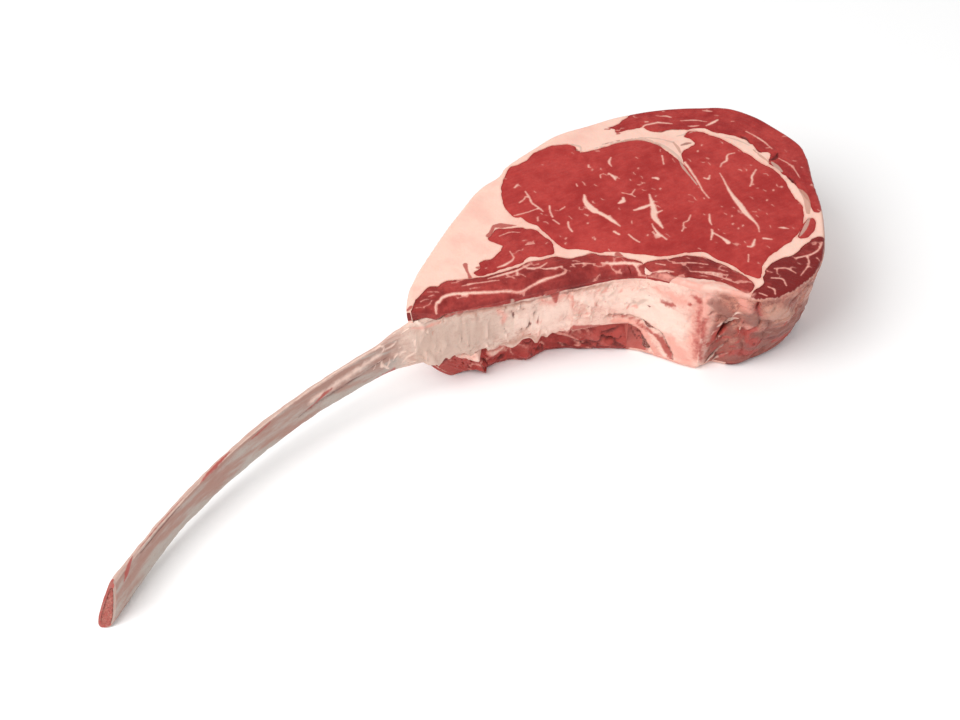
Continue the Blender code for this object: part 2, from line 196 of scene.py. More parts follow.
back_line, front_line = smooth(BACK_EDGE, 0.9), smooth(FRONT_EDGE, 0.9)
outline = np.vstack([back_line[:-1], front_line[:-1]])
front_starts = len(back_line) - 1
steps = np.linalg.norm(np.diff(outline, axis=0, append=outline[:1]), axis=1)
ROUND = steps.sum()
outline_at = np.r_[0, np.cumsum(steps)[:-1]]
tangent = np.roll(outline, -2, axis=0) - np.roll(outline, 2, axis=0)
tangent /= np.linalg.norm(tangent, axis=1)[:, None]
outline_in = np.column_stack([-tangent[:, 1], tangent[:, 0]])
away = outline - MIDDLE
outline_angle = np.degrees(np.arctan2(away[:, 1], away[:, 0])) % 360
angle_order = np.argsort(outline_angle)
reach_angles = outline_angle[angle_order]
reach_lengths = np.linalg.norm(away, axis=1)[angle_order]
print(f"outline {ROUND:.0f} mm round, front wall {ROUND - outline_at[front_starts]:.0f} mm")


# %% Taper and places along the outline
def taper(plan, z):
    """Where points of the upper face come to lie at height z: each moves towards the middle
    by the lower face's inset in its direction, times (distance / reach)^1.5, times
    (1 - z/thickness)^1.3. The sharp end moves further, by its own inset times the depth^4."""
    away = plan - MIDDLE
    distance = np.maximum(np.linalg.norm(away, axis=1), 1e-6)
    angle = np.degrees(np.arctan2(away[:, 1], away[:, 0])) % 360
    reach = np.interp(angle, reach_angles, reach_lengths, period=360)
    inset = np.interp(angle, *LOWER_INSET, period=360)
    depth = np.maximum(0.0, 1 - z / THICK)
    near_end = np.interp(plan[:, 0], END_FADE, (1, 0))
    move = inset * np.minimum(distance / reach, 1.2) ** 1.5 * depth ** 1.3
    move = move + END_INSET * near_end * depth ** END_POWER
    return plan - away * (move / distance)[:, None]


def on_outline(plan):
    """Place along the outline, and the distance to it, of plan points."""
    best = np.full(len(plan), 1e9)
    place = np.zeros(len(plan))
    along = np.roll(outline, -1, axis=0) - outline
    for part in np.array_split(np.arange(len(plan)), len(plan) // 3000 + 1):
        t, gap = to_segments(plan[part], outline, along)
        k = gap.argmin(1)
        rows = np.arange(len(part))
        best[part] = gap[rows, k]
        place[part] = outline_at[k] + t[rows, k] * steps[k]
    return place, best


def round_trip(values, place):
    """A value that goes once round the outline, looked up at places along it."""
    return np.interp(place, np.r_[outline_at, ROUND], np.r_[values, values[0]])


lower_corner = taper(np.array([CORNER]), np.zeros(1))[0]
print("the front corner's foot:", lower_corner.round(1))

# %% Rims, and the step under the rib
on_front = np.arange(len(outline)) >= front_starts
slope_share = np.interp(outline[:, 0], *SLOPE) * on_front
end_share = np.clip(np.linalg.norm(outline - LEFT_END, axis=1) / 14, 0.1, 1)
rim_width = (2.2 + 6.8 * slope_share) * end_share
rim_depth = (2.6 + 3.4 * slope_share) * end_share
rim_depth += 0.5 * noise(outline, 7.0, 3) * end_share
step_back = np.interp(outline[:, 0], *UNDERCUT) * on_front
print(f"rims up to {rim_width.max():.1f} wide, step under the rib {step_back.max():.1f} deep")

# %% [markdown]
# ## Muscles as regions of the slice
#
# In a real steak each muscle is a bundle of fibres that the knife cuts across, and a seam of fat
# parts it from the next. Here each one is an outline on the upper face. One triangulation of
# the whole face follows all the outlines, so neighbours share their edges exactly, as cut meat
# does, which separate grids can't give.

# %% Outlines of the muscles, as drawn
REGIONS = {
    "eye": (
        (-67, 30), (-65.5, 37), (-62.5, 43), (-59, 48), (-54, 53), (-49, 57), (-43, 57.5),
        (-38, 58.5), (-33, 61), (-28, 61.5), (-22, 61.5), (-17, 59.5), (-13, 57), (-12.5, 53),
        (-11.8, 49.6), (-8, 48.5), (0, 47.5), (8, 47), (15, 45.5), (20, 43), (24, 37),
        (25.6, 32), (26.2, 27), (26.4, 22.5), (26.8, 18.5), (27.6, 15), (29.4, 19.4),
        (31.6, 23.6), (38, 25.5),
        (41.5, 26), (42.5, 30), (41, 34), (45, 36), (50, 33), (53, 28), (56, 23), (57.5, 18),
        (59, 13), (59.5, 8), (61, 3), (62.5, -3), (64, -8), (64.5, -14), (64, -20), (62, -27),
        (61, -33), (60, -40), (56, -47), (50, -52.5), (42, -57), (33, -59.5), (25, -62),
        (18, -66), (14, -70), (12, -72), (9, -68), (7, -62), (5.5, -57), (2, -51), (1, -46),
        (-1, -43), (-5, -40.5), (-11, -38.5), (-17, -37), (-22, -34), (-28, -29), (-33, -25),
        (-38, -21.5), (-45, -17.5), (-50, -12), (-56, -8), (-58, -4), (-58.5, 3), (-59.5, 8),
        (-60, 13), (-62.5, 17), (-63.5, 22), (-66, 24), (-67, 27),
    ),
    "cap": (
        (36, 86), (28, 68), (25, 62.6), (21.8, 61.2), (19.4, 60.4), (14.7, 58.8), (10.3, 59.2),
        (13, 56.9), (12.2, 54.4), (15.4, 53.6), (20.3, 52.5), (25, 51.4), (26.8, 48.6),
        (29.2, 45.8), (32, 43.6), (35.4, 43), (40.2, 41.2), (44.9, 38.7), (49.7, 36.6), (54, 33),
        (57, 28.5), (60, 25.5), (63, 22), (65, 18), (67, 14),
        (66.5, 8), (66, 5), (69, 3.5), (71, 1), (68, -2), (66, -5), (67, -10), (66.5, -15),
        (67, -18), (67, -29), (66, -33), (65, -40), (63, -45), (66, -47), (76, -40),
        (106, -10), (104, 40), (70, 84), (30, 94),
    ),
    "tail": (
        (-85, 14), (-84, 17), (-80, 19.5), (-76, 19.5), (-70, 17), (-65, 13.5), (-62, 10),
        (-61, 5), (-60.6, 0), (-62, -5), (-64, -8), (-70, -7), (-75, -5), (-80, -6),
        (-87, -6), (-93, -5), (-98, -4.3), (-103, -4), (-104, -1), (-99, 0), (-98, 4),
        (-95, 4.5), (-91, 3), (-86, 5), (-82, 8), (-83, 11),
    ),
    "inner": (
        (-30, -36.5), (-24, -36.6), (-19, -39.3), (-12, -41.3), (-6, -43.6), (-2, -48.3),
        (0, -52.5), (2.8, -57), (4.6, -62), (6.6, -68), (7.4, -73), (4.6, -77), (0.5, -77.5),
        (-1.2, -72), (-4.4, -66), (-10, -60), (-16, -55), (-20.6, -51), (-22.5, -47),
        (-25.5, -44.5), (-30, -41.2),
    ),
    "end": (
        (3, -79.6), (8, -77.6), (12, -76.5), (14, -72.6), (17, -70.4), (22, -67.8),
        (30, -66.6), (38, -67), (44, -64.4), (50, -62.6), (54, -62.4), (57, -66), (70, -80),
        (46, -104), (12, -108), (-2, -96), (1, -83),
    ),
    "side": (
        (46, -57), (48, -55), (50, -53), (53.5, -50.6), (57, -49), (60, -50), (59, -53),
        (57, -55), (54, -58), (50, -59.4), (46.5, -58.8),
    ),
    "band": (
        (-160, -4), (-148, -8.5), (-144, -9.8), (-143, -11), (-140, -7), (-135, -3), (-130, 0),
        (-127, 1), (-123, -0.5), (-118, 0), (-112, -2), (-105, -4.5), (-98, -6.5),
        (-85, -8.4), (-78, -8), (-72, -9.6), (-65, -10.6), (-60, -14), (-53, -16.5),
        (-48, -17.4), (-45, -20.2), (-40, -23.8), (-35, -28.4), (-31.2, -33.4), (-31, -37),
        (-31.5, -41.5), (-26, -45), (-22.8, -48), (-21, -51), (-24, -50.6), (-29, -46.6),
        (-32, -44), (-36, -41), (-44, -50), (-80, -60), (-120, -50), (-160, -44),
    ),
    "block": (
        (-60.5, -18.5), (-50, -21.5), (-42, -26.2), (-35, -31.2), (-29, -36.5), (-22, -41),
        (-16, -49), (-11, -56), (-4.5, -62.5), (0, -71), (1.5, -78), (3.4, -81.5), (4, -95),
        (-12, -96), (-40, -74), (-66, -52),
    ),
}
STRIP_END = -37.0
print("muscles and blocks drawn:", ", ".join(REGIONS))

# %% Outlines that waver
WAVER = {"eye": 0.35, "cap": 0.55, "tail": 0.6, "inner": 0.5, "end": 0.5, "side": 0.35,
         "band": 0.5, "block": 0.4}
WIDER = {"eye": 0.4, "cap": 0.25, "tail": 0.3, "inner": 0.6, "end": 0.6, "side": 0.2, "band": 0.55,
         "block": 0.0}
FINE_WAVER = 0.22


def wavering(points, size, seed, wider):
    """A closed outline, counter-clockwise, moved outwards by a little and by noise."""
    line = smooth(points, 0.9, closed=True)
    x, y = line.T
    if np.sum(x * np.roll(y, -1) - np.roll(x, -1) * y) < 0:
        line = line[::-1]
    shift = np.column_stack([
        size * layered(line, 5.0, seed + k) + FINE_WAVER * layered(line, 2.2, seed + k)
        for k in (0, 50)])
    ahead = np.roll(line, -1, axis=0) - np.roll(line, 1, axis=0)
    ahead /= np.linalg.norm(ahead, axis=1)[:, None]
    return line + shift + wider * np.column_stack([ahead[:, 1], -ahead[:, 0]])


region_lines = {name: wavering(points, WAVER[name], 10 + i, WIDER[name])
                for i, (name, points) in enumerate(REGIONS.items())}
print("regions:", ", ".join(f"{n} {len(l)}" for n, l in region_lines.items()))

# %% [markdown]
# ## Marbling and fat lines
#
# Fat inside a muscle shows as short crooked flecks where the knife crosses its layers. Each is
# a painted stroke: a line and a width. The larger ones are placed one by one, and many small
# ones are scattered with a seed.

# %% Flecks of fat in the eye
EYE_FLECKS = [
    ((1.2, 2.6, 3.6, 3.8), (-28, 21), (-30, 17), (-30.5, 12), (-30, 8)),
    ((2.4, 2.2, 2.4, 1.0), (-29.6, 7), (-28, 3.5), (-27, 0), (-26, -4), (-25.5, -7.5)),
    ((1.0, 2.4, 1.6), (-13, -1), (-8, -1.5), (-4, -1.5)),
    ((1.0, 2.4, 3.4, 3.2, 1.2), (0, 5), (-2, 0), (-4, -5), (-7, -10), (-7.5, -15), (-8, -19)),
    ((1.6, 0.8), (-4.5, -8), (-1, -8)),
    ((0.6, 1.6, 1.0), (-11, -14), (-12, -20), (-11, -27)),
    ((0.5, 1.2, 0.6), (-14, -19), (-13.5, -24)),
    ((0.7, 1.0, 1.8, 3.2, 3.0, 1.4, 0.6), (39.5, 1), (38, -5), (36, -12), (35, -18), (34.5, -24),
     (33.5, -30), (33.5, -36), (33, -41), (31, -45)),
    ((1.6, 1.2, 0.7), (29, 17), (27.5, 8), (26, 0), (24.5, -6), (24, -12)),
    ((0.7, 1.4, 0.6), (42.5, 5), (45, 7), (48, 7.5), (51, 11), (55, 10.5)),
    ((0.8, 1.4, 0.8), (57, -5.5), (52, -9), (50, -12), (47, -14.5)),
    ((0.8, 1.4, 0.6), (17.5, -22), (15, -26), (14, -29)),
    ((0.8, 1.5, 1.2), (7.5, -38), (11, -34), (12, -32)),
    ((1.0, 1.2, 2.6), (11.5, -35), (13, -40), (13.5, -44)),
    (0.8, (9, -18), (6, -20.5), (3, -21), (1, -24), (-1, -25.5)),
    ((1.0, 1.8, 0.8), (20, -51), (22, -52), (26, -48.5)),
    ((1.5, 1.0), (30, -50), (33, -52.5)),
    (0.7, (17, -56), (14, -60)),
    ((0.8, 1.8, 0.9), (-8.5, 29), (-8, 26), (-8.5, 23)),
    ((0.8, 1.5, 0.7), (-1, 39), (-4, 36), (-4.5, 33)),
    ((1.2, 0.7), (-14, 39.5), (-15, 38)),
    (0.7, (-13, 30), (-14, 28)),
    ((1.0, 1.7, 1.0), (8.5, 15), (10.5, 13.5), (10, 12.5)),
    ((1.4, 2.8, 1.0), (-12.5, 9.5), (-14, 7.4), (-17, 7)),
    (0.6, (-11, 13), (-8, 9.5), (-7, 7.5)),
    (0.6, (-7, 10), (-4, 12)),
    ((0.8, 1.2, 0.9), (-52, 38), (-52.5, 33), (-53.5, 29), (-52.5, 25), (-52, 21)),
    (0.8, (-59, 32), (-56, 33), (-54, 34.5)),
    (0.7, (-66, 25), (-60, 24), (-54, 24)),
    (0.9, (-47, 23), (-49, 19), (-50, 15)),
    (0.8, (-51, 13), (-50, 9)),
    (1.1, (-45.5, 8), (-47, 5), (-47.5, 1)),
    (1.2, (-53, 44), (-55, 43)),
    (0.8, (-43, 18), (-41, 18.5)),
    (0.7, (-27, 30), (-27.5, 28.5)),
    (1.3, (-30, -9.5), (-29, -12.5)),
    (1.0, (-25, -15), (-24.5, -19), (-23.5, -22)),
    (1.0, (30.5, 2), (32, 0), (34, 2)),
    (0.8, (22, 27), (19, 21)),
    ((0.4, 1.6, 0.4), (41, -47), (43, -48), (45, -50)),
]
SPOTS = (
    (7, 6), (6, 24.5), (2, 2.5), (-57, 18), (-58, 16), (-35, 7), (-38, 2), (-53, -2), (-55, -5),
    (-17.5, -20), (-41, -9.5), (26, -29), (23, -34), (23.5, -38), (26.5, -37.5), (55, -23),
    (60, -23), (48, -27.5), (39.5, 21), (44, 24),
)
print("eye:", len(EYE_FLECKS), "flecks and", len(SPOTS), "dots")

# %% Flecks and lines of fat in the other muscles
CAP_LINES = [
    ((0.7, 1.2, 1.2, 1.4, 1.0, 0.7), (24.9, 50.7), (28.1, 52), (31.7, 51.1), (35.1, 50.4), (37.8, 48.3),
     (40.6, 46)),
    ((0.5, 1.2, 0.8), (38.9, 54.2), (41.5, 53), (43.2, 50.9)),
    ((1.0, 0.6), (29.7, 54.4), (30.9, 53.6)),
    ((0.4, 1.2, 0.5), (60.4, 47.1), (62.1, 45.5), (64, 44)),
    ((0.6, 1.6, 1.8, 1.0), (55, 36), (57.9, 36.2), (60.5, 36.5), (62.8, 36.9)),
    ((0.4, 1.0, 0.4), (46.8, 40.4), (49.6, 38.8), (51.8, 37.9)),
    ((0.5, 1.0, 0.4), (46, 46), (52, 43), (57, 38.6)),
    ((0.5, 1.2, 0.5), (70, 22), (73, 12), (73.5, 4)),
    ((0.4, 0.9, 0.4), (72, -4), (74, -12), (72, -22)),
]
BAND_LINES = [
    ((1.4, 2.0, 1.8, 1.7, 1.5, 1.3, 1.1, 0.8, 1.0, 1.6, 1.2, 0.7), (-127.8, -9.9), (-124.7, -8.2),
     (-119.5, -8.6), (-113.6, -11.1), (-107.8, -13.5), (-100.8, -16.2), (-94.7, -18.4), (-89.3, -20.7),
     (-83.1, -20.6), (-76.9, -20.6), (-71.1, -21.3), (-65.9, -22)),
    ((1.2, 1.4, 0.6), (-128.4, -9.4), (-130.6, -11.6), (-131.2, -14.6)),
    ((0.4, 0.9, 0.5), (-113.2, -6), (-107.8, -7.3), (-104.2, -8.5)),
    ((0.5, 1.3, 0.8), (-75, -13.6), (-72, -16), (-65, -18)),
    ((0.8, 1.2), (-84.7, -9.4), (-86.5, -12.6)),
    ((0.6, 1.4, 1.6, 1.2, 0.8), (-100, -8), (-93, -8.8), (-87, -9.6), (-83, -9.6), (-78, -9.2)),
    ((1.4, 0.7), (-80, -11), (-75, -13.2), (-70, -12.4)),
    ((0.8, 1.6, 2.0, 1.8, 1.2), (-47, -25), (-42, -28), (-38, -30), (-34, -33), (-31, -35.4)),
    ((1.0, 0.9, 1.0), (-34, -34.5), (-33.5, -39), (-31, -42.4)),
    ((0.4, 0.9, 0.5), (-60, -19), (-55, -21), (-50, -24)),
    ((0.4, 0.7, 0.4), (-110, -6), (-104, -8.6), (-96, -11.4)),
]
TAIL_LINES = [
    ((0.6, 1.5, 1.3, 0.7), (-92.2, -3.4), (-88.6, -3.6), (-83.8, -2.8), (-81.6, -1.3)),
    ((0.7, 0.5), (-81.8, -1), (-81.2, 3.4)),
    ((0.4, 0.6, 0.3), (-80, 15.4), (-74, 15.6), (-70, 13)),
    ((0.6, 0.4), (-72, 4), (-68, 2.6)),
]
INNER_LINES = [
    ((1.6, 1.5, 0.8), (-30, -43), (-24, -45.5), (-21, -48)),
    ((0.4, 0.8, 0.4), (-18, -43), (-10, -47), (-4, -52)),
    ((0.4, 0.9, 0.4), (-14, -52), (-6, -57), (0, -63)),
    ((0.4, 0.7, 0.4), (-10, -55), (-4, -62), (1, -70)),
    ((0.5, 1.0), (-25, -39), (-22, -42)),
]
END_LINES = [
    ((0.7, 1.0, 0.5), (22, -70.4), (27, -73), (29, -78)),
    ((0.5, 1.0, 0.5), (12, -79), (13.4, -82), (12, -85)),
    ((0.8, 1.0, 0.5), (17, -75), (21, -78), (20, -83)),
    ((0.9, 1.1, 1.0), (36, -69.4), (42, -70.6), (48, -70), (53, -66.4)),
    ((0.9, 0.7, 0.4), (41, -71), (38, -76), (30, -80.6)),
    ((0.5, 0.9, 0.4), (6, -80.6), (8, -84)),
]
OTHER_LINES = (CAP_LINES, BAND_LINES, TAIL_LINES, INNER_LINES, END_LINES)
print("other muscles:", sum(map(len, OTHER_LINES)), "lines")


# %% Scattered flecks
def scraps(seed, count, box, lengths, widths, heading, spread, bending):
    """Short lines at random in a box, with headings spread about one: for each its start, its
    middle moved aside by a share of its length, its end, and a width."""
    rng = np.random.default_rng(seed)
    for _ in range(count):
        start = rng.uniform(*box)
        turn = np.radians(heading + rng.normal(0, spread))
        ahead = np.array([np.cos(turn), np.sin(turn)]) * rng.uniform(*lengths)
        bend = np.array([-ahead[1], ahead[0]]) * rng.normal(0, bending)
        yield (start, start + ahead / 2 + bend, start + ahead), rng.uniform(*widths)


def scattered(seed, count, box, lengths, widths, heading):
    """Small flecks of fat at random, thin at both ends."""
    return [stroke((0.1, width, 0.1), *line, step=0.6, soft=0.3)
            for line, width in scraps(seed, count, box, lengths, widths, heading, 20, 0.12)]


def spots(centres, width):
    """Round flecks: strokes so short that they're dots."""
    return [stroke((width, width), (x, y), (x + 0.4, y + 0.3), step=0.3, soft=0.3)
            for x, y in centres]


FAT_IN = {
    "eye": strokes_of(EYE_FLECKS) + spots(SPOTS, 0.8)
    + scattered(4, 130, ((-66, -66), (64, 61)), (0.6, 2.6), (0.15, 0.4), -75),
    "cap": strokes_of(CAP_LINES)
    + scattered(5, 60, ((11, -46), (88, 64)), (0.8, 3), (0.2, 0.55), -50),
    "tail": strokes_of(TAIL_LINES)
    + scattered(6, 12, ((-104, -8), (-62, 20)), (0.8, 2.4), (0.2, 0.4), 20),
    "band": strokes_of(BAND_LINES)
    + scattered(7, 90, ((-140, -48), (-24, 0)), (1.5, 6), (0.15, 0.45), -16),
    "inner": strokes_of(INNER_LINES)
    + scattered(8, 34, ((-30, -76), (6, -38)), (1, 5), (0.2, 0.5), -42),
    "end": strokes_of(END_LINES)
    + scattered(9, 16, ((2, -88), (56, -62)), (1, 4), (0.2, 0.5), -60),
    "side": [],
}
print("strokes:", {name: len(lines) for name, lines in FAT_IN.items()})

# %% Threads of lean in the fat, and the tissue in the seams
LEAN_IN_FAT = [
    ((0.4, 2.0, 3.8, 1.9, 1.8, 2.4), (-69, 18.2), (-73.3, 20.6), (-78.2, 22.9), (-80.6, 21.4),
     (-82.2, 19.9), (-84.8, 18.2), 0.35),
    ((2.6, 1.4, 1.0, 2.0), (-104.5, 6.0), (-105.6, 3), (-106.4, -0.6), (-107, -3), 0.35),
    (1.6, (-100.6, 1.4), (-98.6, 0.8), 0.4),
    ((1.0, 2.2, 1.0), (-145.2, -6.0), (-143.4, -7.6), (-140.6, -6.6), 0.5),
    ((1.4, 0.8), (10.6, 58.6), (8.4, 59.6), 0.4),
    ((1.6, 1.2), (12.0, 53.4), (13.0, 53.0), 0.4),
]
# Seam tissue between muscles: grey and tan films, and painted shade, dark, in the gaps where they part.
SEAMS = {
    "grey": [
        ((1.0, 1.2, 1.4, 1.6, 2.0, 1.6, 1.4, 1.0, 0.7), (-4, 49), (7.6, 47.8), (18.3, 44.8),
         (22.9, 40.2), (26.6, 33), (28.6, 22.6), (26.2, 14.4), (25.2, 5.2), (24.4, -3.6)),
        ((0.6, 1.0, 0.9, 1.4), (20.3, 45.4), (25, 41.6), (29, 38.1), (33, 33.2)),
        ((0.8, 1.0, 0.6), (37.1, 36.4), (41.4, 35.8), (49.5, 35.4)),
        ((1.2, 2.4, 1.4), (67.3, -4.6), (67.3, -8.9), (67.2, -13.2)),
        ((1.2, 2.2, 1.6, 1.0), (58.4, -48.5), (53.9, -52.3), (50.3, -54.9), (45.6, -57.4)),
        ((0.8, 1.4, 1.0), (-12, 50), (-10, 54), (-13, 58)),
        ((0.6, 1.2, 0.8), (58.4, 23.6), (62, 18.6), (65, 12)),
    ],
    "brown": [
        ((0.4, 0.9, 0.9, 0.8, 0.4), (26.9, 48.9), (29.6, 45.3), (33, 43.3), (38, 42), (46, 38.3), 0.3),
        ((0.3, 0.6, 0.6, 0.5, 0.3), (-0.3, 50.2), (9.7, 48.2), (18.5, 45.3), (22.2, 43.1), (24.6, 39),
         0.25),
        ((0.6, 1.8, 0.8), (35, 29.2), (38.2, 29), (40.4, 28.2), 0.4),
    ],
    "pink": [
        ((1, 2.6, 1.4), (-24, -50), (-19, -57), (-15, -62), 1.6),
        ((1, 2.2, 1.4), (-8, -68), (-3, -74), (3, -80), 1.4),
        ((0.6, 1.8, 0.8), (-17, -60), (-13, -61.4), (-10, -65), 1.0),
        ((1, 2.4, 1.4), (-30, -43), (-26, -47.4), (-22.5, -52), 1.2),
        ((1, 2, 1), (-12, -62), (-7, -65), (-3, -70), 0.9),
    ],
    "tan": [
        ((1.6, 3.0, 3.2, 2.0), (66.9, -29), (65.8, -35.2), (63.2, -40.6), (60, -45.4)),
        ((1.0, 1.8, 1.2), (32.8, 33.2), (32.6, 28.7), (31.4, 24.5)),
        ((0.8, 1.6, 0.8), (64.8, 8), (65.4, 1), (66.2, -4)),
    ],
    # Painted shade in the gaps, where the face also sinks.
    "dark": [
        ((0.4, 1.3, 1.1, 0.5), (64.7, 21.6), (66.9, 18.0), (66.9, 15.3), (66.7, 12.4)),
        ((0.4, 1.2, 0.4), (66.8, 9.1), (66.8, 6.5), (68, 4.4)),
        ((0.6, 2.0, 1.6, 0.5), (67.4, -1.2), (69, -2.7), (72, -2), (74.7, 0.5)),
        ((0.5, 1.8, 0.8), (68, -18.3), (67.6, -22), (67.6, -25.1)),
        ((0.3, 0.7, 0.3), (-12.6, 50.6), (-12.2, 53.6), (-13, 57)),
    ],
}
SEAM_STROKES = {kind: strokes_of(rows) for kind, rows in SEAMS.items()}
LEAN_THREADS = strokes_of(LEAN_IN_FAT)
print("seams:", {kind: len(rows) for kind, rows in SEAMS.items()})

# %% [markdown]
# ## One triangulation of the face
#
# The outlines, the flecks' lines and a loose lattice of points go into one constrained
# triangulation. A fleck's line is an edge of the mesh, so its depth field has its crease exactly
# there and even a thin fleck comes out whole.


# %% Helpers for the triangulation
def clear_of(points, fixed, gap):
    """The points that have no fixed point in their own cell of a lattice or the eight round."""
    def keys(cells):
        """One whole number for each cell."""
        return cells[:, 0] * 1000003 + cells[:, 1]
    cells = np.floor(fixed / gap).astype(np.int64)
    taken = np.concatenate([keys(cells + (i, j)) for i in (-1, 0, 1) for j in (-1, 0, 1)])
    return points[~np.isin(keys(np.floor(points / gap).astype(np.int64)), taken)]


def lattice(spacing):
    """Points of a lattice of triangles over the slice, each shaken a little."""
    x, y = np.meshgrid(np.arange(-150, 92, spacing), np.arange(-90, 72, spacing * 0.866))
    x = x + 0.5 * spacing * (np.arange(len(x)) % 2)[:, None]
    points = np.column_stack([x.ravel(), y.ravel()])
    return points + np.random.default_rng(2).uniform(-0.25, 0.25, points.shape) * spacing


def triangulate(spacing):
    """Plan points, triangles, and for each triangle which outlines it lies in."""
    closed = [outline] + list(region_lines.values())
    open_lines = [painted[0] for painted in sum(FAT_IN.values(), LEAN_THREADS)]
    open_lines += [np.array([(STRIP_END, -60.0), (STRIP_END, -24.0)])]
    rows = [outline + outline_in * (rim_width * share)[:, None]
            for share in (0.06, 0.2, 0.42, 0.7, 1.0)]
    points, edges, faces = [], [], []
    total = 0
    for line in closed + open_lines:
        ids = np.arange(total, total + len(line))
        ends = np.roll(ids, -1) if len(faces) < len(closed) else ids[1:]
        edges += list(zip(ids.tolist(), ends.tolist()))
        if len(faces) < len(closed):
            faces.append(ids.tolist())
        points.append(line)
        total += len(line)
    fixed = np.vstack(points)
    loose = clear_of(np.vstack(rows), fixed, 0.3)
    loose = np.vstack([loose, clear_of(lattice(spacing), np.vstack([fixed, loose]), 0.55)])
    found = delaunay_2d_cdt(np.vstack([fixed, loose]).tolist(), edges, faces, 0, 1e-5, True)
    plan = np.array([tuple(v) for v in found[0]])
    triangles = np.array(found[2])
    owners = found[5]
    counts = np.fromiter(map(len, owners), int, len(owners))
    rows = np.repeat(np.arange(len(owners)), counts)
    inside = np.zeros((len(owners), len(closed)), bool)
    inside[rows, np.concatenate([np.array(o, int) for o in owners])] = True
    keep = inside[:, 0]
    return plan, triangles[keep], inside[keep, 1:]


# %% Triangulate the face
plan, triangles, inside = triangulate(0.75 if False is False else 1.6)
within = dict(zip(REGIONS, inside.T))
corners = plan[triangles]
turns = np.cross(corners[:, 1] - corners[:, 0], corners[:, 2] - corners[:, 0])
triangles[turns < 0] = triangles[turns < 0][:, ::-1]
centres = corners.mean(1)
label = np.full(len(triangles), "cover", dtype="<U12")
for name in ("block", "band", "inner", "end", "side", "tail", "cap", "eye"):
    label[within[name]] = name
label[within["band"] & within["block"] & (label == "band")] = "band_block"
place, to_edge = on_outline(plan)
print("triangles:", len(triangles), {n: int((label == n).sum()) for n in np.unique(label)})

# %% [markdown]
# ## Heights of the faces and the shape of the walls
#
# The cut face isn't flat: it heaves a little, drops in a soft rim at the edge, and slopes down
# to the front, where the rib was pulled away from the meat. The lean stands a hair lower than
# the fat, because it shrinks as it dries. A sculpted mesh could do this too, but functions of the
# place can be checked and changed one at a time.

# %% Height functions of the two faces
front_x = front_line[:, 0]
front_place = outline_at[front_starts] + np.r_[0, np.cumsum(
    np.linalg.norm(np.diff(front_line, axis=0), axis=1))]


def ease(x, low, high):
    """0 below low, 1 above high, and 3t^2 - 2t^3 between."""
    t = np.clip((x - low) / (high - low), 0, 1)
    return t * t * (3 - 2 * t)


def rim_drop(to_edge, width, depth):
    """A quarter of an ellipse: how far the face has sunk at a distance from its edge."""
    q = np.clip(1 - to_edge / width, 0, 1)
    return depth * (1 - np.sqrt(1 - q ** 2))


def top_height(plan, place, to_edge):
    """The upper face: its full height, less the rim's drop, with slow and quick heaving that
    dies out at the edge."""
    drop = rim_drop(to_edge, round_trip(rim_width, place), round_trip(rim_depth, place))
    calm = ease(to_edge, 0.0, 3.0)
    heave = 0.30 * (layered(plan, 24.0, 1) - 0.6) + 0.10 * (layered(plan, 4.0, 5) - 0.6)
    return THICK - 0.05 - drop + heave * calm * (heave < 0)


def bottom_height(place, to_edge):
    """The lower face: flat on the floor, with a rounded foot."""
    return rim_drop(to_edge, 2.5, 3.0 * round_trip(end_share, place))


def step_in(place, to_edge):
    """How far the strip under the rib stands back from the front edge. It fades out inwards."""
    return round_trip(step_back, place) * ease(UNDERCUT_REACH - to_edge, 0, UNDERCUT_REACH)


def side_share(place):
    """1 where the outer wall has the dried skin of the right side, fading out round the back."""
    return ease(place, 1.0, 9.0) * (1 - ease(place, 95.0, 150.0))


trial_height = top_height(outline[:1], outline_at[:1], np.zeros(1))[0]
print(f"the upper face is {trial_height:.1f} mm high at the front corner's edge")


# %% Relief of the walls
def wall_relief(place, z, rough):
    """How far the wall swells out: slow waves that lean along it, and finer unevenness."""
    turn = 2 * np.pi * place / ROUND
    slow = (0.4 * np.sin(10 * turn + z / 15) + 0.25 * np.sin(22 * turn + z / 10)
            + 0.15 * np.sin(46 * turn + z / 6))
    flat = np.column_stack([place, z * 0.8])
    fine = layered(flat, 7.0, 21, 4)
    creases = np.exp(-(layered(flat, 11.0, 25, 3) / 0.10) ** 2)
    side = side_share(place)
    return slow + (rough + 0.25 * side) * fine - (0.5 * rough + 0.4 + 0.5 * side) * creases


# Where the lean's lower edge runs along the front wall, as x and height.
LIP = np.array(((-145, 50), (-136, 50.4), (-132, 47.6), (-128, 49.6), (-120, 50.4),
                (-110, 48.6), (-92, 47.6), (-78, 47.4), (-60, 48.2), (-48, 48.4), (-42, 49.4),
                (-33, 50.5), (-26, 52), (-14, 52)), float).T


def lip_height(place):
    """Height of the lean's ragged lower edge on the front wall."""
    x = np.interp(place, front_place, front_x)
    return np.interp(x, *LIP) + 0.5 * layered(place[:, None], 6.0, 33)


print("lip of the lean at the wall's two ends:", lip_height(front_place[[0, -1]]).round(1))

# %% [markdown]
# ## Folds of the torn wall
#
# Tearing a rib away leaves flaps of membrane, slits between them and one deep hole. Each is a
# row of numbers in wall coordinates, in millimetres: how far it stands out, its widths, the
# places and heights of its line, and how soft its edge is. The same stroke that paints colour
# then moves the wall, so a real fold casts its own shadow, which a bump map can't do.

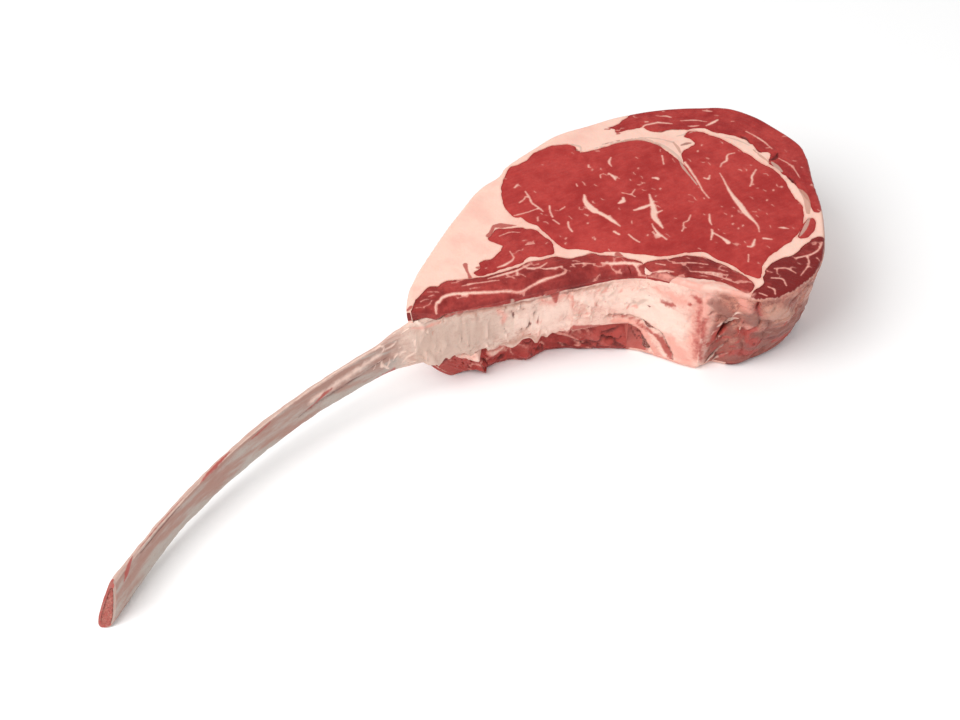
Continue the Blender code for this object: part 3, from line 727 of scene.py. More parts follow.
# %% Folds, flaps, slits and holes
FRONT_RELIEF = (
    (1.6, (2, 5, 5, 2), (22, 27), (24.4, 22), (27, 18), (29, 15), 0.7),
    (0.7, (1.2, 2.2, 1.0), (15.6, 38.6), (17.4, 34), (17.2, 29), 0.5),
    (0.7, (1.0, 2.0, 0.8), (18, 35), (20.7, 40.2), (24, 43), 0.5),
    (0.6, (1.5, 3, 1.5), (27, 36), (31, 31), (30, 26), 0.8),
    (-1.3, (0.4, 1.5, 0.4), (65.1, 42), (65.9, 38.4), (66.6, 35.2), 0.5),
    (-1.6, (0.4, 1.8, 1.4, 0.4), (76.8, 37.8), (75.2, 33), (73.1, 27.2), 0.5),
    (-1.0, (0.4, 1.2, 0.4), (69.4, 45), (69.9, 42.6), (70.2, 40.4), 0.5),
    (-1.0, (0.4, 1.2, 0.4), (79.8, 37), (79, 33.6), (78.2, 31.4), 0.5),
    (-1.0, (0.4, 1.2, 0.4), (60.6, 32), (62.2, 29.6), (63, 27.8), 0.5),
    (-1.6, (0.6, 2.0, 1.0), (93, 47.4), (98, 48.0), (104, 48.2), 0.7),
    (0.9, (2, 5, 4, 2), (98, 42), (104, 40), (108, 36), (106, 32), 1.0),
    (-1.8, (0.6, 1.6, 1.6, 2.2, 2.4, 1.6), (116, 25.8), (125.7, 24.1), (132.5, 22.3),
     (137.5, 19), (142.4, 17.2), (145.4, 12), (149.3, 5.4), (152.6, 0), 0.8),
    (-1.6, (3, 6, 8, 8), (122, 19), (128, 15), (132, 9), (136, 1), 2.0),
    (1.4, (2.6, 3.4, 3.4, 2.6), (120, 21.6), (128, 20.2), (134, 16.4), (139.6, 7.6),
     (144, 2), 0.9),
    (-0.8, (1, 2.4, 1), (154, 30), (157, 24), (156, 16), 1.2),
    (0.8, (3, 5, 3), (150, 42), (154, 38), (156, 34), 1.6),
)
STRIP_RELIEF = (
    (2.6, (2.5, 4.5, 4.5, 2), (28, 17), (36, 18), (44, 17.4), (51, 18.6), 0.9),
    (1.6, (3, 5, 3), (54, 14), (59, 12), (65, 13), 1.0),
    (1.8, (2, 4, 3, 2), (84, 19.6), (92, 16), (100, 12), (106, 9), 0.9),
    (-1.8, (2, 3, 2), (52, 18), (60, 17.8), (68, 16.4), 0.9),
    (-1.6, (1, 3, 1), (76, 17.4), (82, 17.4), (89, 17), 0.9),
    (1.8, (4, 7, 4), (38, 4), (42.5, 2), (47, 4.6), 1.4),
    (1.4, (3, 4, 3), (75, 6), (79, 3.6), (83, 6), 1.2),
    (-1.6, (1, 2.4, 1), (48, 12), (52, 7), (54, 2), 1.0),
    (1.0, (2, 3, 2), (108, 14), (114, 9), (118, 4), 1.0),
)
RIGHT_RELIEF = (
    (-3.4, (0.8, 1.4, 2.6, 3.4, 1.8), (9.6, 21.5), (10.6, 25.6), (12.4, 31), (15, 36.4),
     (17.4, 37.8), 0.6),
    (-1.1, (1.0, 2.6, 2.4, 1.0), (23.4, 56), (24.4, 47), (27, 40), (29, 34), 1.0),
    (1.0, (5, 8, 5), (4, 47), (8, 44.6), (12, 41.5), 1.8),
    (1.0, (3, 6, 5), (14, 53), (18, 50), (21, 45), 1.6),
    (1.2, (7, 11, 10, 6), (31, 48), (35, 43), (40, 37), (46, 33), 2.0),
    (-1.4, (2, 4, 4, 2), (28, 27), (34, 24), (44, 23), (56, 27), 1.6),
    (-1.0, (0.6, 1.6, 0.6), (5, 2), (9, 7.5), (13, 14), 0.7),
    (-1.0, (0.6, 1.6, 0.6), (9, 1.5), (13, 5.5), (17, 10.5), 0.7),
    (-1.0, (0.6, 1.4, 0.6), (7.4, 5.5), (12.1, 10.4), (16.3, 18.4), 0.7),
    (0.9, (2, 4, 2), (12, 27), (16, 24), (19, 20), 1.2),
    (-1.2, (1, 2.4, 1), (18, 32), (22, 28), (25, 22), 1.0),
    (-1.0, (1, 2.2, 1), (50, 46), (51.6, 36), (50, 28), 1.2),
)
FRONT_FROM = outline_at[front_starts] - 15.2
RIGHT_SCALE = 1.09
RIB_FROM = 180.7
print("folds drawn:", len(FRONT_RELIEF), len(STRIP_RELIEF), len(RIGHT_RELIEF))


# %% Random flakes on the walls
def flakes(seed, count, box, lengths, widths, heading, spread):
    """Random small flakes on a wall: rows of (widths, points..., softness)."""
    return tuple(((0.3 * width, width, 0.4 * width), *line, 0.35 * width)
                 for line, width in scraps(seed, count, box, lengths, widths, heading, spread, 0.2))


FRONT_BOX, STRIP_BOX, RIGHT_BOX = ((-6, 21), (132, 45)), ((14, 1), (123, 16)), ((2, 3), (84, 52))
FRONT_FLAKES = {
    "pale": flakes(31, 84, FRONT_BOX, (2, 8), (0.5, 1.6), 65, 40),
    "grey": flakes(32, 24, FRONT_BOX, (3, 9), (0.8, 2.6), 30, 40),
    "pink": flakes(33, 22, ((66, 21), (132, 45)), (2, 6), (0.6, 2.0), 60, 50),
    "tan": flakes(34, 26, FRONT_BOX, (2, 6), (0.4, 1.0), 60, 40),
    "red": flakes(35, 5, FRONT_BOX, (1.5, 4), (0.4, 0.9), 60, 40),
    # Dark flakes are dents in the wall, coloured with painted shade.
    "dark": flakes(36, 15, ((24, 23), (112, 43)), (1.5, 5), (0.25, 0.6), 76, 20)
    + flakes(44, 8, ((119, 2), (131, 15)), (3, 8), (0.4, 1.4), -50, 25),
}
STRIP_FLAKES = {
    "fat": flakes(41, 22, STRIP_BOX, (2, 7), (0.4, 1.0), -25, 35),
    "pink": flakes(42, 8, ((34, 1), (123, 16)), (2, 6), (0.8, 2.0), -25, 40),
    # Dark flakes are dents in the strip, coloured with painted shade.
    "dark": flakes(43, 26, STRIP_BOX, (4, 11), (0.8, 2.2), -25, 25),
}
RIGHT_FLAKES = {
    "pale": flakes(51, 12, RIGHT_BOX, (2, 7), (0.6, 1.8), 40, 40),
    "brown": flakes(53, 30, RIGHT_BOX, (2, 7), (0.6, 2.0), 35, 40),
    "red": flakes(54, 26, ((2, 3), (84, 34)), (2, 7), (0.8, 2.6), 20, 40),
    # Dark flakes are dents in the wall, coloured with painted shade.
    "dark": flakes(55, 16, ((2, 3), (84, 40)), (1.5, 5), (0.3, 0.8), 40, 40),
}


def raised(height, rows):
    """Relief rows from painted ones, all of one height."""
    return tuple((height, *row) for row in rows)


FRONT_RELIEF += raised(0.8, FRONT_FLAKES["pale"]) + raised(-0.4, FRONT_FLAKES["tan"])
FRONT_RELIEF += raised(-0.8, FRONT_FLAKES["dark"])
STRIP_RELIEF += raised(0.9, STRIP_FLAKES["fat"]) + raised(-1.2, STRIP_FLAKES["dark"])
RIGHT_RELIEF += raised(0.5, RIGHT_FLAKES["pale"]) + raised(-0.6, RIGHT_FLAKES["brown"])
RIGHT_RELIEF += raised(-0.8, RIGHT_FLAKES["dark"])
print("folds with the flakes:", len(FRONT_RELIEF), len(STRIP_RELIEF), len(RIGHT_RELIEF))


# %% How the folds move the wall
def bumps_at(place, z, table, shift=0.0, scale=1.0):
    """Heights of single folds: each row's height times an eased 0 to 1 over its soft edge."""
    spots_at = np.column_stack([place, z])
    total = np.zeros(len(place))
    for height, *row in table:
        painted = strokes_of([row], shift, scale)
        total += height * ease(inside_strokes(spots_at, painted, -1.5), -1.0, 1.0)
    return total


def folds(place, z, strip=False):
    """How far single folds, flaps, slits and holes move the wall out, above zero, or in."""
    front_rows = FRONT_RELIEF + (STRIP_RELIEF if strip else ())
    return (bumps_at(place, z, front_rows, FRONT_FROM)
            + bumps_at(place, z, RIGHT_RELIEF, 0.0, RIGHT_SCALE))


hole = folds(np.array([12.4 * RIGHT_SCALE]), np.array([31.0]))[0]
print(f"the deepest hole goes in by {-hole:.1f} mm")

# %% [markdown]
# ## Slabs
#
# Each muscle and each piece of fat is a closed body: a part of the face on top, the same part
# below, and a wall of columns between. Extrude would do for straight walls. Here every column
# bends with the steak's taper and relief, so the points are worked out one level at a time.

# %% Helpers for the slabs' meshes
LEVELS = 58
THIN = 0.01
ON_OUTSIDE = 0.02
CALM = 2.0
ROUGH, STRIP_ROUGH, STRIP_FADE = 0.45, 1.1, (119, 127)
GROOVE, GROOVE_WIDTH, GAP_DEPTH = 0.35, 0.8, 1.1
RIM_SKIN = 1.3
STEEP = 2.5
SHARP_ANGLE = 48


def edges_of(tri):
    """The directed border edges of a set of triangles: those whose reverse isn't there."""
    a = np.concatenate([tri[:, [0, 1]], tri[:, [1, 2]], tri[:, [2, 0]]])
    code = a[:, 0] * 4000037 + a[:, 1]
    back = a[:, 1] * 4000037 + a[:, 0]
    return a[~np.isin(code, back)]


def make_object(name, points, polygons):
    """A mesh object from points in millimetres and a list of arrays of faces."""
    mesh = bpy.data.meshes.new(name)
    faces = [f for part in polygons for f in part.tolist()]
    mesh.from_pydata((np.asarray(points) * MM).tolist(), [], faces)
    mesh.validate()
    made = bpy.data.objects.new(name, mesh)
    bpy.context.scene.collection.objects.link(made)
    mesh.shade_smooth()
    mesh.set_sharp_from_angle(angle=np.radians(SHARP_ANGLE))
    return made


def attribute(piece, name, values):
    """Stores one number for each point of a piece."""
    layer = piece.data.attributes.new(name, "FLOAT", "POINT")
    layer.data.foreach_set("value", np.asarray(values, np.float32))


def grain_attribute(piece, along):
    """Stores how far each point lies along, across and up the fibres."""
    layer = piece.data.attributes.new("grain", "FLOAT_VECTOR", "POINT")
    layer.data.foreach_set("vector", (along * MM).astype(np.float32).ravel())


def border_distance(points, start, end, reach=4.0):
    """Distance from points to a set of border edges, up to a reach."""
    best = np.full(len(points), reach)
    for part in np.array_split(np.arange(len(start)), len(start) // 60 + 1):
        a, b = start[part], end[part]
        if not len(a):
            continue
        low = np.minimum(a, b).min(0) - reach
        high = np.maximum(a, b).max(0) + reach
        near = np.flatnonzero(np.all((points > low) & (points < high), axis=1))
        if near.size:
            best[near] = np.minimum(best[near], to_segments(points[near], a, b - a)[1].min(1))
    return best


def inner_pairs(p, border, gap):
    """The border edges that don't lie on the steak's outside, as start and end points."""
    inner = ~((gap[border[:, 0]] < ON_OUTSIDE) & (gap[border[:, 1]] < ON_OUTSIDE))
    return p[border[inner, 0]], p[border[inner, 1]]


# %% Points of a slab's faces and wall
def slab_sheets(used, border, groove, top, bottom, set_back):
    """The upper and the lower face's points. A groove runs along the borders with other
    tissue, exp(-(distance / width)^2) deep. Under the rib the foot is set back."""
    p, s, gap = plan[used], place[used], to_edge[used]
    back = set_back * step_in(s, gap)
    inner_border = border_distance(p, *inner_pairs(p, border, gap))
    z_top = top_height(p, s, gap) - groove * np.exp(-(inner_border / GROOVE_WIDTH) ** 2)
    z_top = z_top - GAP_DEPTH * ease(inside_strokes(p, SEAM_STROKES["dark"]), -1.0, 2.0)
    high = p.copy()
    if top is not None:
        z_top = top(used, z_top)
        high = np.where((z_top < 50)[:, None], taper(p, z_top), high)
        high[:, 1] += back * (z_top < 30)
    z_low = bottom_height(s, gap) if bottom is None else bottom(used)
    taper_at = np.zeros(len(used)) if bottom is None else z_low
    low = taper(p, taper_at)
    low[:, 1] += back * (taper_at < UNDERCUT_TOP - 0.05)
    return high, z_top, low, z_low


def slab_wall(ids, z_top, z_low, outer, levels, set_back, rough, strip):
    """Columns of points under the rim's points, all at the same heights where they fit. On
    the steak's outside the relief moves them, and it calms down at both ends of a column.
    Returns the points, their places along the wall, and the heights before they are held above
    the lower face."""
    ladder = np.linspace(THICK, 0, levels)[1:-1]
    count = np.arange(1, levels - 1)
    free_z = np.minimum(ladder, z_top[:, None] - THIN * count)
    z = np.maximum(free_z, z_low[:, None] + THIN * count[::-1]).ravel()
    p, s, gap, out, above, below = (np.repeat(k, len(ladder), axis=0) for k in (
        plan[ids], place[ids], to_edge[ids], outer, z_top, z_low))
    moved = taper(p, z)
    inwards = np.column_stack([round_trip(k, s) for k in outline_in.T])
    calm = np.minimum(ease(z - below, 0, CALM), ease(above - z, 0, CALM))
    calm = calm * round_trip(end_share, s)
    rough_at = rough + (ROUGH - rough) * ease(s - FRONT_FROM, *STRIP_FADE)
    swell = wall_relief(s, z, rough_at) + folds(s, z, strip)
    moved -= inwards * (swell * calm * out)[:, None]
    if set_back:
        moved[:, 1] += step_in(s, gap) * (z < UNDERCUT_TOP + 0.01)
    return np.column_stack([moved, z]), s, out, free_z.ravel()


# %% Build a slab of the slice
def slab(name, chosen, levels=LEVELS, top=None, bottom=None, set_back=False, groove=0.0,
         rough=ROUGH, heading=0.0, strip=False):
    """A closed body of the slice: some of the face's triangles as its upper face, the same
    ones tapered as its lower face, and a wall of columns round their border. Returns the
    object and each point's sheet (0 top, 1 wall, 2 underside, 3 hidden) and place on it."""
    used, tri = np.unique(triangles[chosen], return_inverse=True)
    tri = tri.reshape(-1, 3)
    p, s, gap = plan[used], place[used], to_edge[used]
    n = len(used)
    border = edges_of(tri)
    rim = np.unique(border)
    high, z_top, low, z_low = slab_sheets(used, border, groove, top, bottom, set_back)
    wall, wall_s, out, free_z = slab_wall(used[rim], z_top[rim], z_low[rim], gap[rim] < ON_OUTSIDE,
                                          levels, set_back, rough, strip)
    points = np.vstack([np.column_stack([high, z_top]), np.column_stack([low, z_low]), wall])
    where = np.full(n, -1)
    where[rim] = np.arange(len(rim))
    inner_ids = 2 * n + np.arange(len(wall)).reshape(len(rim), levels - 2)
    columns = np.column_stack([rim, inner_ids, n + rim])
    a, b = columns[where[border[:, 0]]], columns[where[border[:, 1]]]
    quads = np.stack([b[:, :-1], a[:, :-1], a[:, 1:], b[:, 1:]], axis=2).reshape(-1, 4)
    piece = make_object(name, points, [tri, tri[:, ::-1] + n, quads])
    # Tall faces, where a column jumps a step, are shaded flat.
    smooth_faces = np.r_[np.ones(2 * len(tri), bool), np.ptp(points[quads, 2], axis=1) <= STEEP]
    if len(smooth_faces) == len(piece.data.polygons):
        piece.data.polygons.foreach_set("use_smooth", smooth_faces)

    sheet = np.r_[np.zeros(n), np.full(n, 2), np.where(out, 1, 3)]
    # Under the block's step the paint keeps its heights, so that it doesn't crowd there.
    paint_z = free_z if set_back and bottom is not None else wall[:, 2]
    near_border = border_distance(p, p[border[:, 0]], p[border[:, 1]])
    attribute(piece, "edge", np.r_[near_border, near_border, np.full(len(wall), 3.0)])
    attribute(piece, "wall", sheet == 1)
    covered = np.r_[1 - ease(gap, 0.0, RIM_SKIN), np.zeros(n), out]
    attribute(piece, "side", covered * side_share(np.r_[s, s, wall_s]))
    face_u, face_v = s, gap
    if heading is not None:
        turn = np.radians(heading)
        face_u, face_v = p @ (np.cos(turn), np.sin(turn)), p @ (-np.sin(turn), np.cos(turn))
    grain_attribute(piece, np.column_stack([np.r_[face_u, face_u, wall_s],
                                            np.r_[face_v, face_v, wall[:, 2]], points[:, 2]]))
    return piece, sheet, np.vstack([p, p, np.column_stack([wall_s, paint_z])])


# %% [markdown]
# ## What is painted on the walls
#
# The front wall was torn from the next rib, so it's a patchwork: white membrane, tan dried
# streaks, red flesh that shows through, and painted shade: tan under the lean's lip, dark in
# slits, holes, creases and gaps. Each patch is a stroke in wall coordinates: the distance
# along the wall, and the height.

# %% Patches on the front wall
FRONT = {
    "pale": (
        ((2, 5, 5, 2), (22, 27), (24.4, 22), (27, 18), (29, 15), 0.6),
        ((1.0, 2.4, 0.8), (15.6, 38.6), (17.4, 34), (17.2, 29), 0.4),
        ((0.8, 2.0, 0.8), (18, 35), (20.7, 40.8), (24, 43), 0.4),
        ((2, 3, 2), (28, 35), (31, 31), (30, 26), 0.8),
        ((4, 9, 12, 10), (58, 31), (66, 34), (80, 33), (92, 36), 3.0),
        ((2, 5, 5, 2), (98, 42), (104, 40), (108, 36), (106, 32), 1.2),
        ((8, 16, 22, 20), (116, 36), (126, 36), (138, 32), (148, 28), 4.0),
        ((6, 9, 8), (148, 20), (153, 12), (157, 4), 2.2),
        ((3, 5, 3), (80, 23), (90, 25), (98, 26), 1.6),
    ),
    "grey": (
        ((20, 26, 24, 8), (-2, 32), (20, 32), (44, 33), (60, 33), 4.0),
    ),
    "pink": (
        ((2, 4, 3), (79, 45.6), (85, 42), (91, 45.6), 2.0),
        ((1, 2.2, 1.4), (58, 45), (61, 40), (60, 34), 1.6),
        ((2, 4, 3), (92, 33), (97, 37), (96, 42), 1.4),
        ((2, 4, 3), (140, 46.6), (150, 45), (160, 43), 2.6),
        ((6, 9, 7, 9, 6), (160.4, 48), (162.2, 38), (163, 27), (161.8, 18), (162.4, 9), 3.4),
        ((3, 4.6, 4.6, 3.4), (119, 22), (127, 20.4), (133, 17.4), (138, 9), (144, 2), 0.8),
        ((6, 10, 8), (148, 16), (154, 9), (158, 3), 3.0),
    ),
    "tan": (
        # These two bands lie just under the lean's overhanging lip: they are painted shade.
        ((1.0, 2.4, 1.6), (38, 47.6), (56, 46), (74, 45.4), 1.0),
        ((1.2, 2.4, 1.2), (97, 46), (106, 45.6), (118, 46.4), 0.9),
        ((1.4, 3, 1.6), (60, 22), (70, 23), (82, 21.6), 1.2),
    ),
    "brown": (
        ((0.5, 1.2, 0.8, 1.1, 0.5), (22, 47.6), (42, 48.2), (60, 46.4), (82, 46), (112, 46.8), 0.7),
    ),
    "red": (
        ((7, 3.6, 1.4), (86.6, 50), (87, 45), (87.2, 41.6), 0.6),
        ((1.0, 1.6, 1.0), (30, 48.6), (45, 49.4), (60, 47.2), 0.7),
        ((0.8, 1.6, 2.2, 2.6, 2.0), (131, 20.6), (137, 17), (141.6, 14.6), (145.6, 9), (150.4, 1.6),
         0.6),
        ((0.6, 1.0, 0.8), (116.7, 25.2), (125.7, 23.2), (132.5, 21.4), 0.5),
        ((2.0, 3.6, 2.0), (143, 39.8), (146.5, 38.2), (149.4, 40), 1.1),
        ((1.8, 1.8), (156.8, 43.6), (157.2, 43.1), 0.5),
        ((1.4, 3, 2), (158, 49), (160.4, 47.4), (161.8, 45), 1.0),
        ((0.6, 2.0, 3.2, 1.4, 3.0, 1.0), (163.2, 43), (161.6, 37), (163.2, 30), (161.8, 23), (163, 17),
         (161.8, 10), 2.6),
        ((1.6, 4.6, 5.2, 4.4, 2), (91, 19.6), (96.5, 21), (103, 20.6), (110, 19), (118, 16), 0.7),
        ((1.0, 2.6, 1.4), (52, 19.6), (56, 20.6), (62.6, 19.8), 0.6),
        ((4, 7, 4), (38.4, 4), (42.5, 2), (47, 4), 1.4),
        ((2, 4, 3), (69, 12), (77, 9), (84, 13), 1.4),
        ((2, 5, 4), (102, 13), (112, 11), (121, 9), 1.4),
        ((2, 3, 2), (31, 10), (37, 12), (44, 11), 1.2),
        ((12, 17, 19, 17, 12, 4), (112, 9), (119, 9), (124, 9.4), (128, 8), (131, 5.4), (134.4, 1), 1.2),
        ((6, 17, 22, 16), (-9, 6), (1, 8), (14, 9.4), (28, 11), 1.4),
    ),
    # Painted shade in the slits, grooves and holes of the wall, and in the gap under the rib.
    "dark": (
        ((0.4, 1.4, 0.4), (65.1, 42), (65.9, 38.4), (66.6, 35.2), 0.25),
        ((0.4, 1.8, 1.3, 0.4), (76.8, 37.8), (75.2, 33), (73.1, 27.2), 0.25),
        ((0.3, 0.7, 0.3), (69.4, 45), (69.9, 42.6), (70.2, 40.4), 0.25),
        ((0.3, 0.7, 0.3), (79.8, 37), (79, 33.6), (78.2, 31.4), 0.25),
        ((0.3, 0.8, 0.3), (60.6, 32), (62.2, 29.6), (63, 27.8), 0.25),
        ((0.4, 1.3, 0.6), (93.4, 47.4), (98, 48.1), (104, 48.2), 0.4),
        ((0.3, 0.6, 0.5, 0.8, 0.9, 0.4), (116, 26), (125.7, 24.4), (132.5, 22.7), (137.6, 19.5),
         (142.4, 17.8), (145.4, 12.4), (149.3, 5.6), (152.6, 0), 0.5),
        ((1.0, 2.6, 1.4), (52, 18), (58, 18.2), (67, 16.8), 0.8),
        ((0.8, 2.2, 0.8), (75, 18.2), (82, 18.2), (90, 17.6), 0.8),
        ((1.4, 3.4, 1.6), (12, 17.4), (20, 16.6), (30, 15), 1.0),
        ((0.8, 2.0, 0.8), (47, 13), (51, 9), (54, 4), 0.8),
        ((0.4, 0.8, 0.4), (128, 37), (128.8, 36.7), (129.4, 36.6), 0.3),
        ((1.0, 2.6, 1.2), (-14, 10), (0, 7), (14, 9.6), 1.0),
    ),
}
STRIP_FAT = (
    ((3.4, 6, 5, 3), (55.6, 14.6), (59.4, 11.8), (63.5, 11.4), (67, 14.2), 0.7),
    ((1.2, 2.8, 2.2, 1.2), (85.7, 20), (91.7, 16), (98.8, 12.5), (103.4, 9.2), 0.6),
    ((0.8, 1.8, 1.0), (93.9, 19.4), (99.8, 16.8), (105, 14), 0.5),
    ((2.0, 3.0, 1.6), (27.4, 2.6), (30.2, 0.4), (33, 1.6), 0.5),
    ((1.2, 1.8), (33.6, 4.4), (34.6, 2.8), 0.4),
    ((0.7, 1.4, 0.8), (37, 7), (46, 9), (54, 8), 0.5),
    ((0.7, 1.5, 0.9), (66, 9), (72, 11.6), (79, 10.4), 0.5),
    ((0.6, 1.3, 0.6), (107, 16), (113, 11), (117, 5), 0.5),
    ((0.6, 1.2, 0.6), (124, 14), (127.6, 8), (128.6, 2), 0.5),
)
print("front wall:", {kind: len(rows) for kind, rows in FRONT.items()})

# %% Patches on the right wall
RIGHT = {
    "pale": (
        ((0.6, 1.6, 0.6), (7, 3), (11, 8.6), (15, 15.6), 0.5),
        ((0.6, 1.4, 0.6), (11, 2), (15, 6.4), (19, 11), 0.5),
    ),
    "pink": (
        ((5, 8, 6), (1.4, 50), (1.0, 38), (1.6, 26), 3.0),
        ((3, 5, 3), (20, 33), (24, 32), (28, 30), 1.6),
        ((3, 5.4, 4), (13.4, 53.4), (18, 50.4), (21.4, 46), 1.8),
    ),
    "tan": (
        ((6, 11, 10, 6), (31, 47), (35, 43), (40, 37), (46, 33), 2.2),
        ((6, 9, 6), (56, 40), (62, 35), (66, 30), 2.6),
    ),
    "brown": (
        ((5, 7, 5), (4, 47), (8, 44.6), (12, 41.5), 1.6),
        ((4, 8, 9, 8, 6), (31, 24), (40, 21), (50, 21.5), (60, 22), (72, 26), 2.2),
        ((6, 10, 12), (36, 11), (50, 12), (72, 14), 3.0),
        ((1.0, 2.4, 1.2), (30, 33), (38, 29.6), (48, 27.6), 1.2),
        ((4, 7, 4), (20, 43), (24.5, 38.6), (28, 34), 2.0),
        ((0.6, 1.4, 1.1, 0.6), (28, 40), (33, 34), (39, 30.5), (46, 33.6), 0.7),
        ((0.6, 1.3, 0.6), (47.4, 35), (49.6, 43), (46, 50), 0.7),
        ((0.8, 1.8, 1.2, 0.6), (54, 50), (60, 44), (66, 37), (68, 28), 0.9),
    ),
    "red": (
        ((2, 4.6, 3, 5, 3), (1.6, 35), (0.6, 28), (2.4, 21), (0.8, 14), (2.6, 7), 2.6),
        ((2, 5, 4), (8, 21), (9.6, 25), (12, 28), 1.4),
        ((3, 6, 5), (19.6, 29), (23, 27), (27, 30), 1.6),
        ((3, 6, 5), (26, 22), (30.5, 19.5), (34, 17), 1.5),
        ((3, 5, 5, 3), (20, 11.4), (24, 12.6), (30, 9.6), (38, 8), 1.4),
        ((1.6, 3, 1.6), (24, 51), (25, 46), (27, 42), 1.2),
        ((2, 4, 3), (44, 13), (52, 10), (60, 9), 1.6),
    ),
    # Painted shade in the slits, the deep hole and the grooves of the right wall.
    "dark": (
        ((0.4, 1.2, 2.2, 3.2, 1.6), (9.6, 21.5), (10.6, 25.6), (12.4, 31), (15, 36.4), (17.4, 37.8),
         0.35),
        ((0.4, 0.9, 0.8, 0.4), (23.4, 55.4), (24.4, 47), (27, 40), (29, 34), 0.6),
        ((0.3, 0.8, 0.4), (5, 2), (9, 7.5), (13, 14), 0.6),
        ((0.3, 0.8, 0.4), (9, 1.5), (13, 5.5), (17, 10.5), 0.6),
        ((0.3, 0.7, 0.4), (7.4, 5.5), (12.1, 10.4), (16.3, 18.4), 0.6),
        ((0.6, 1.8, 0.8), (33, 18.6), (44, 16.4), (56, 16), 1.0),
        ((0.5, 1.4, 0.6), (62, 30), (66, 26), (70, 25), 0.8),
    ),
}
print("right wall:", {kind: len(rows) for kind, rows in RIGHT.items()})

# %% Patches on the rib
RIB = {
    "red": (
        ((1, 4.4, 4, 1), (8, 19), (11, 22), (15, 25), (19, 27), 0.8),
        ((0.8, 2.6, 3.4, 2.4, 0.8), (71, 27), (76, 28.2), (81, 28.8), (86, 29.6), (91, 30.8), 0.8),
        ((0.5, 1.3, 0.5), (104, 28.0), (110, 29.0), (116, 30.2), 0.6),
        ((0.6, 1.2, 2.6, 1.2), (137, 22.4), (143, 24), (147.6, 27), (152, 27.6), 0.8),
        ((0.6, 2.2, 2.6, 1.2), (170, 17), (176, 18.4), (181, 19.4), (187, 21), 0.8),
        ((0.3, 0.8, 0.6, 0.3), (24, 26.6), (34, 26.6), (44, 27.2), (60, 28), 0.6),
    ),
    "pink": (
        ((0.8, 1.6, 1.2), (196, 46), (203, 45), (209, 46), 1.2),
    ),
    # Painted shade in the rib's creases.
    "dark": (
        ((0.3, 0.8, 0.7, 0.3), (132, 21.6), (146, 23.4), (160, 25), (187, 31), 0.6),
        ((0.3, 0.6, 0.3), (26, 22.6), (40, 23.4), (56, 24.8), 0.5),
        ((0.4, 0.9, 0.4), (150, 15.6), (164, 17.4), (178, 18.8), 0.6),
    ),
    "pale": (
        # The first line, along the ridge above the flat face, is a painted highlight.
        ((0.3, 0.6, 0.6, 0.5), (20, 24.6), (60, 26.4), (120, 32.4), (178, 40), 0.7),
        ((2, 3.4, 2), (140, 27), (160, 30), (180, 35), 2.0),
        ((1.2, 2.4, 1.8, 0.8), (198.4, 49.5), (200.6, 46.4), (201, 43), (199.4, 40.4), 0.5),
        ((0.5, 1.5, 0.5), (186, 27), (188.6, 31), (192, 33), 0.4),
        ((0.5, 1.2, 0.5), (191, 24), (194, 27.4), (198, 29), 0.4),
    ),
}
print("rib:", {kind: len(rows) for kind, rows in RIB.items()})

# %% Paint the walls and the seams
WALL_KINDS = ("pale", "grey", "pink", "tan", "brown", "red", "dark")


WALL = {}
for kind in WALL_KINDS:
    FRONT[kind] += FRONT_FLAKES.get(kind, ())
    right_rows = RIGHT.get(kind, ()) + RIGHT_FLAKES.get(kind, ())
    WALL[kind] = strokes_of(FRONT[kind], FRONT_FROM) + strokes_of(right_rows, 0.0, RIGHT_SCALE)
STRIP_MORE = {kind: strokes_of(rows, FRONT_FROM) for kind, rows in STRIP_FLAKES.items()}
STRIP_MORE["fat"] += strokes_of(STRIP_FAT, FRONT_FROM)


def paint_wall(piece, sheet, spot, more):
    """Stores every kind of patch: on the wall, and as seam tissue on the faces."""
    for kind in WALL_KINDS:
        paint(piece, sheet, spot, kind, SEAM_STROKES.get(kind, ()), WALL[kind] + more.get(kind, []))


def paint(piece, sheet, spot, name, face=(), wall=(), seed=0):
    """Stores how deep each point lies in some strokes: the face's strokes on the upper face,
    two thirds of the same on the lower face, and the wall's strokes on the wall."""
    field = np.full(len(sheet), OUTSIDE_STROKES)
    kept = np.random.default_rng(seed).random(len(face)) < 0.66
    under = [s for s, k in zip(face, kept) if k]
    for k, strokes in ((0, list(face)), (2, under), (1, list(wall))):
        here = sheet == k
        if strokes and here.any():
            field[here] = inside_strokes(spot[here], strokes)
    attribute(piece, name, field)


print("patches on the walls:", {kind: len(lines) for kind, lines in WALL.items()})

# %% [markdown]
# ## The muscles and the fat
#
# Each piece now takes its triangles, its flecks and its patches, and stands for its node of the
# part. The band of rib meat lies over the pale block, and the strip under the rib lies beside
# it, so those three end inside the steak, at heights given by functions.

# %% What a muscle shows
STRIP_EDGE = np.array((
    (-5, 21), (30, 21), (34.3, 17), (41, 14.8), (46.5, 14.7), (52.4, 18.5),
    (61.2, 19.8), (67.4, 16.8), (69.9, 19.2), (84.6, 19.5), (96.1, 22.5), (103.1, 22.5),
    (110, 21), (131, 21),
), float).T
SKIN_TOP, SKIN_DROP, SKIN_DROP_AT = 55.6, 8.1, (3, 12)
pieces = {}


def stand(piece, node, slot_name):
    """Lets a piece stand for its node of the part."""
    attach(piece, "root")
    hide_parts(node)
    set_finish(piece, slot_name)
    pieces[node] = piece
    print(node, len(piece.data.polygons), "faces")


def part_of(*names):
    """The face's triangles that lie in some regions."""
    return np.isin(label, names)


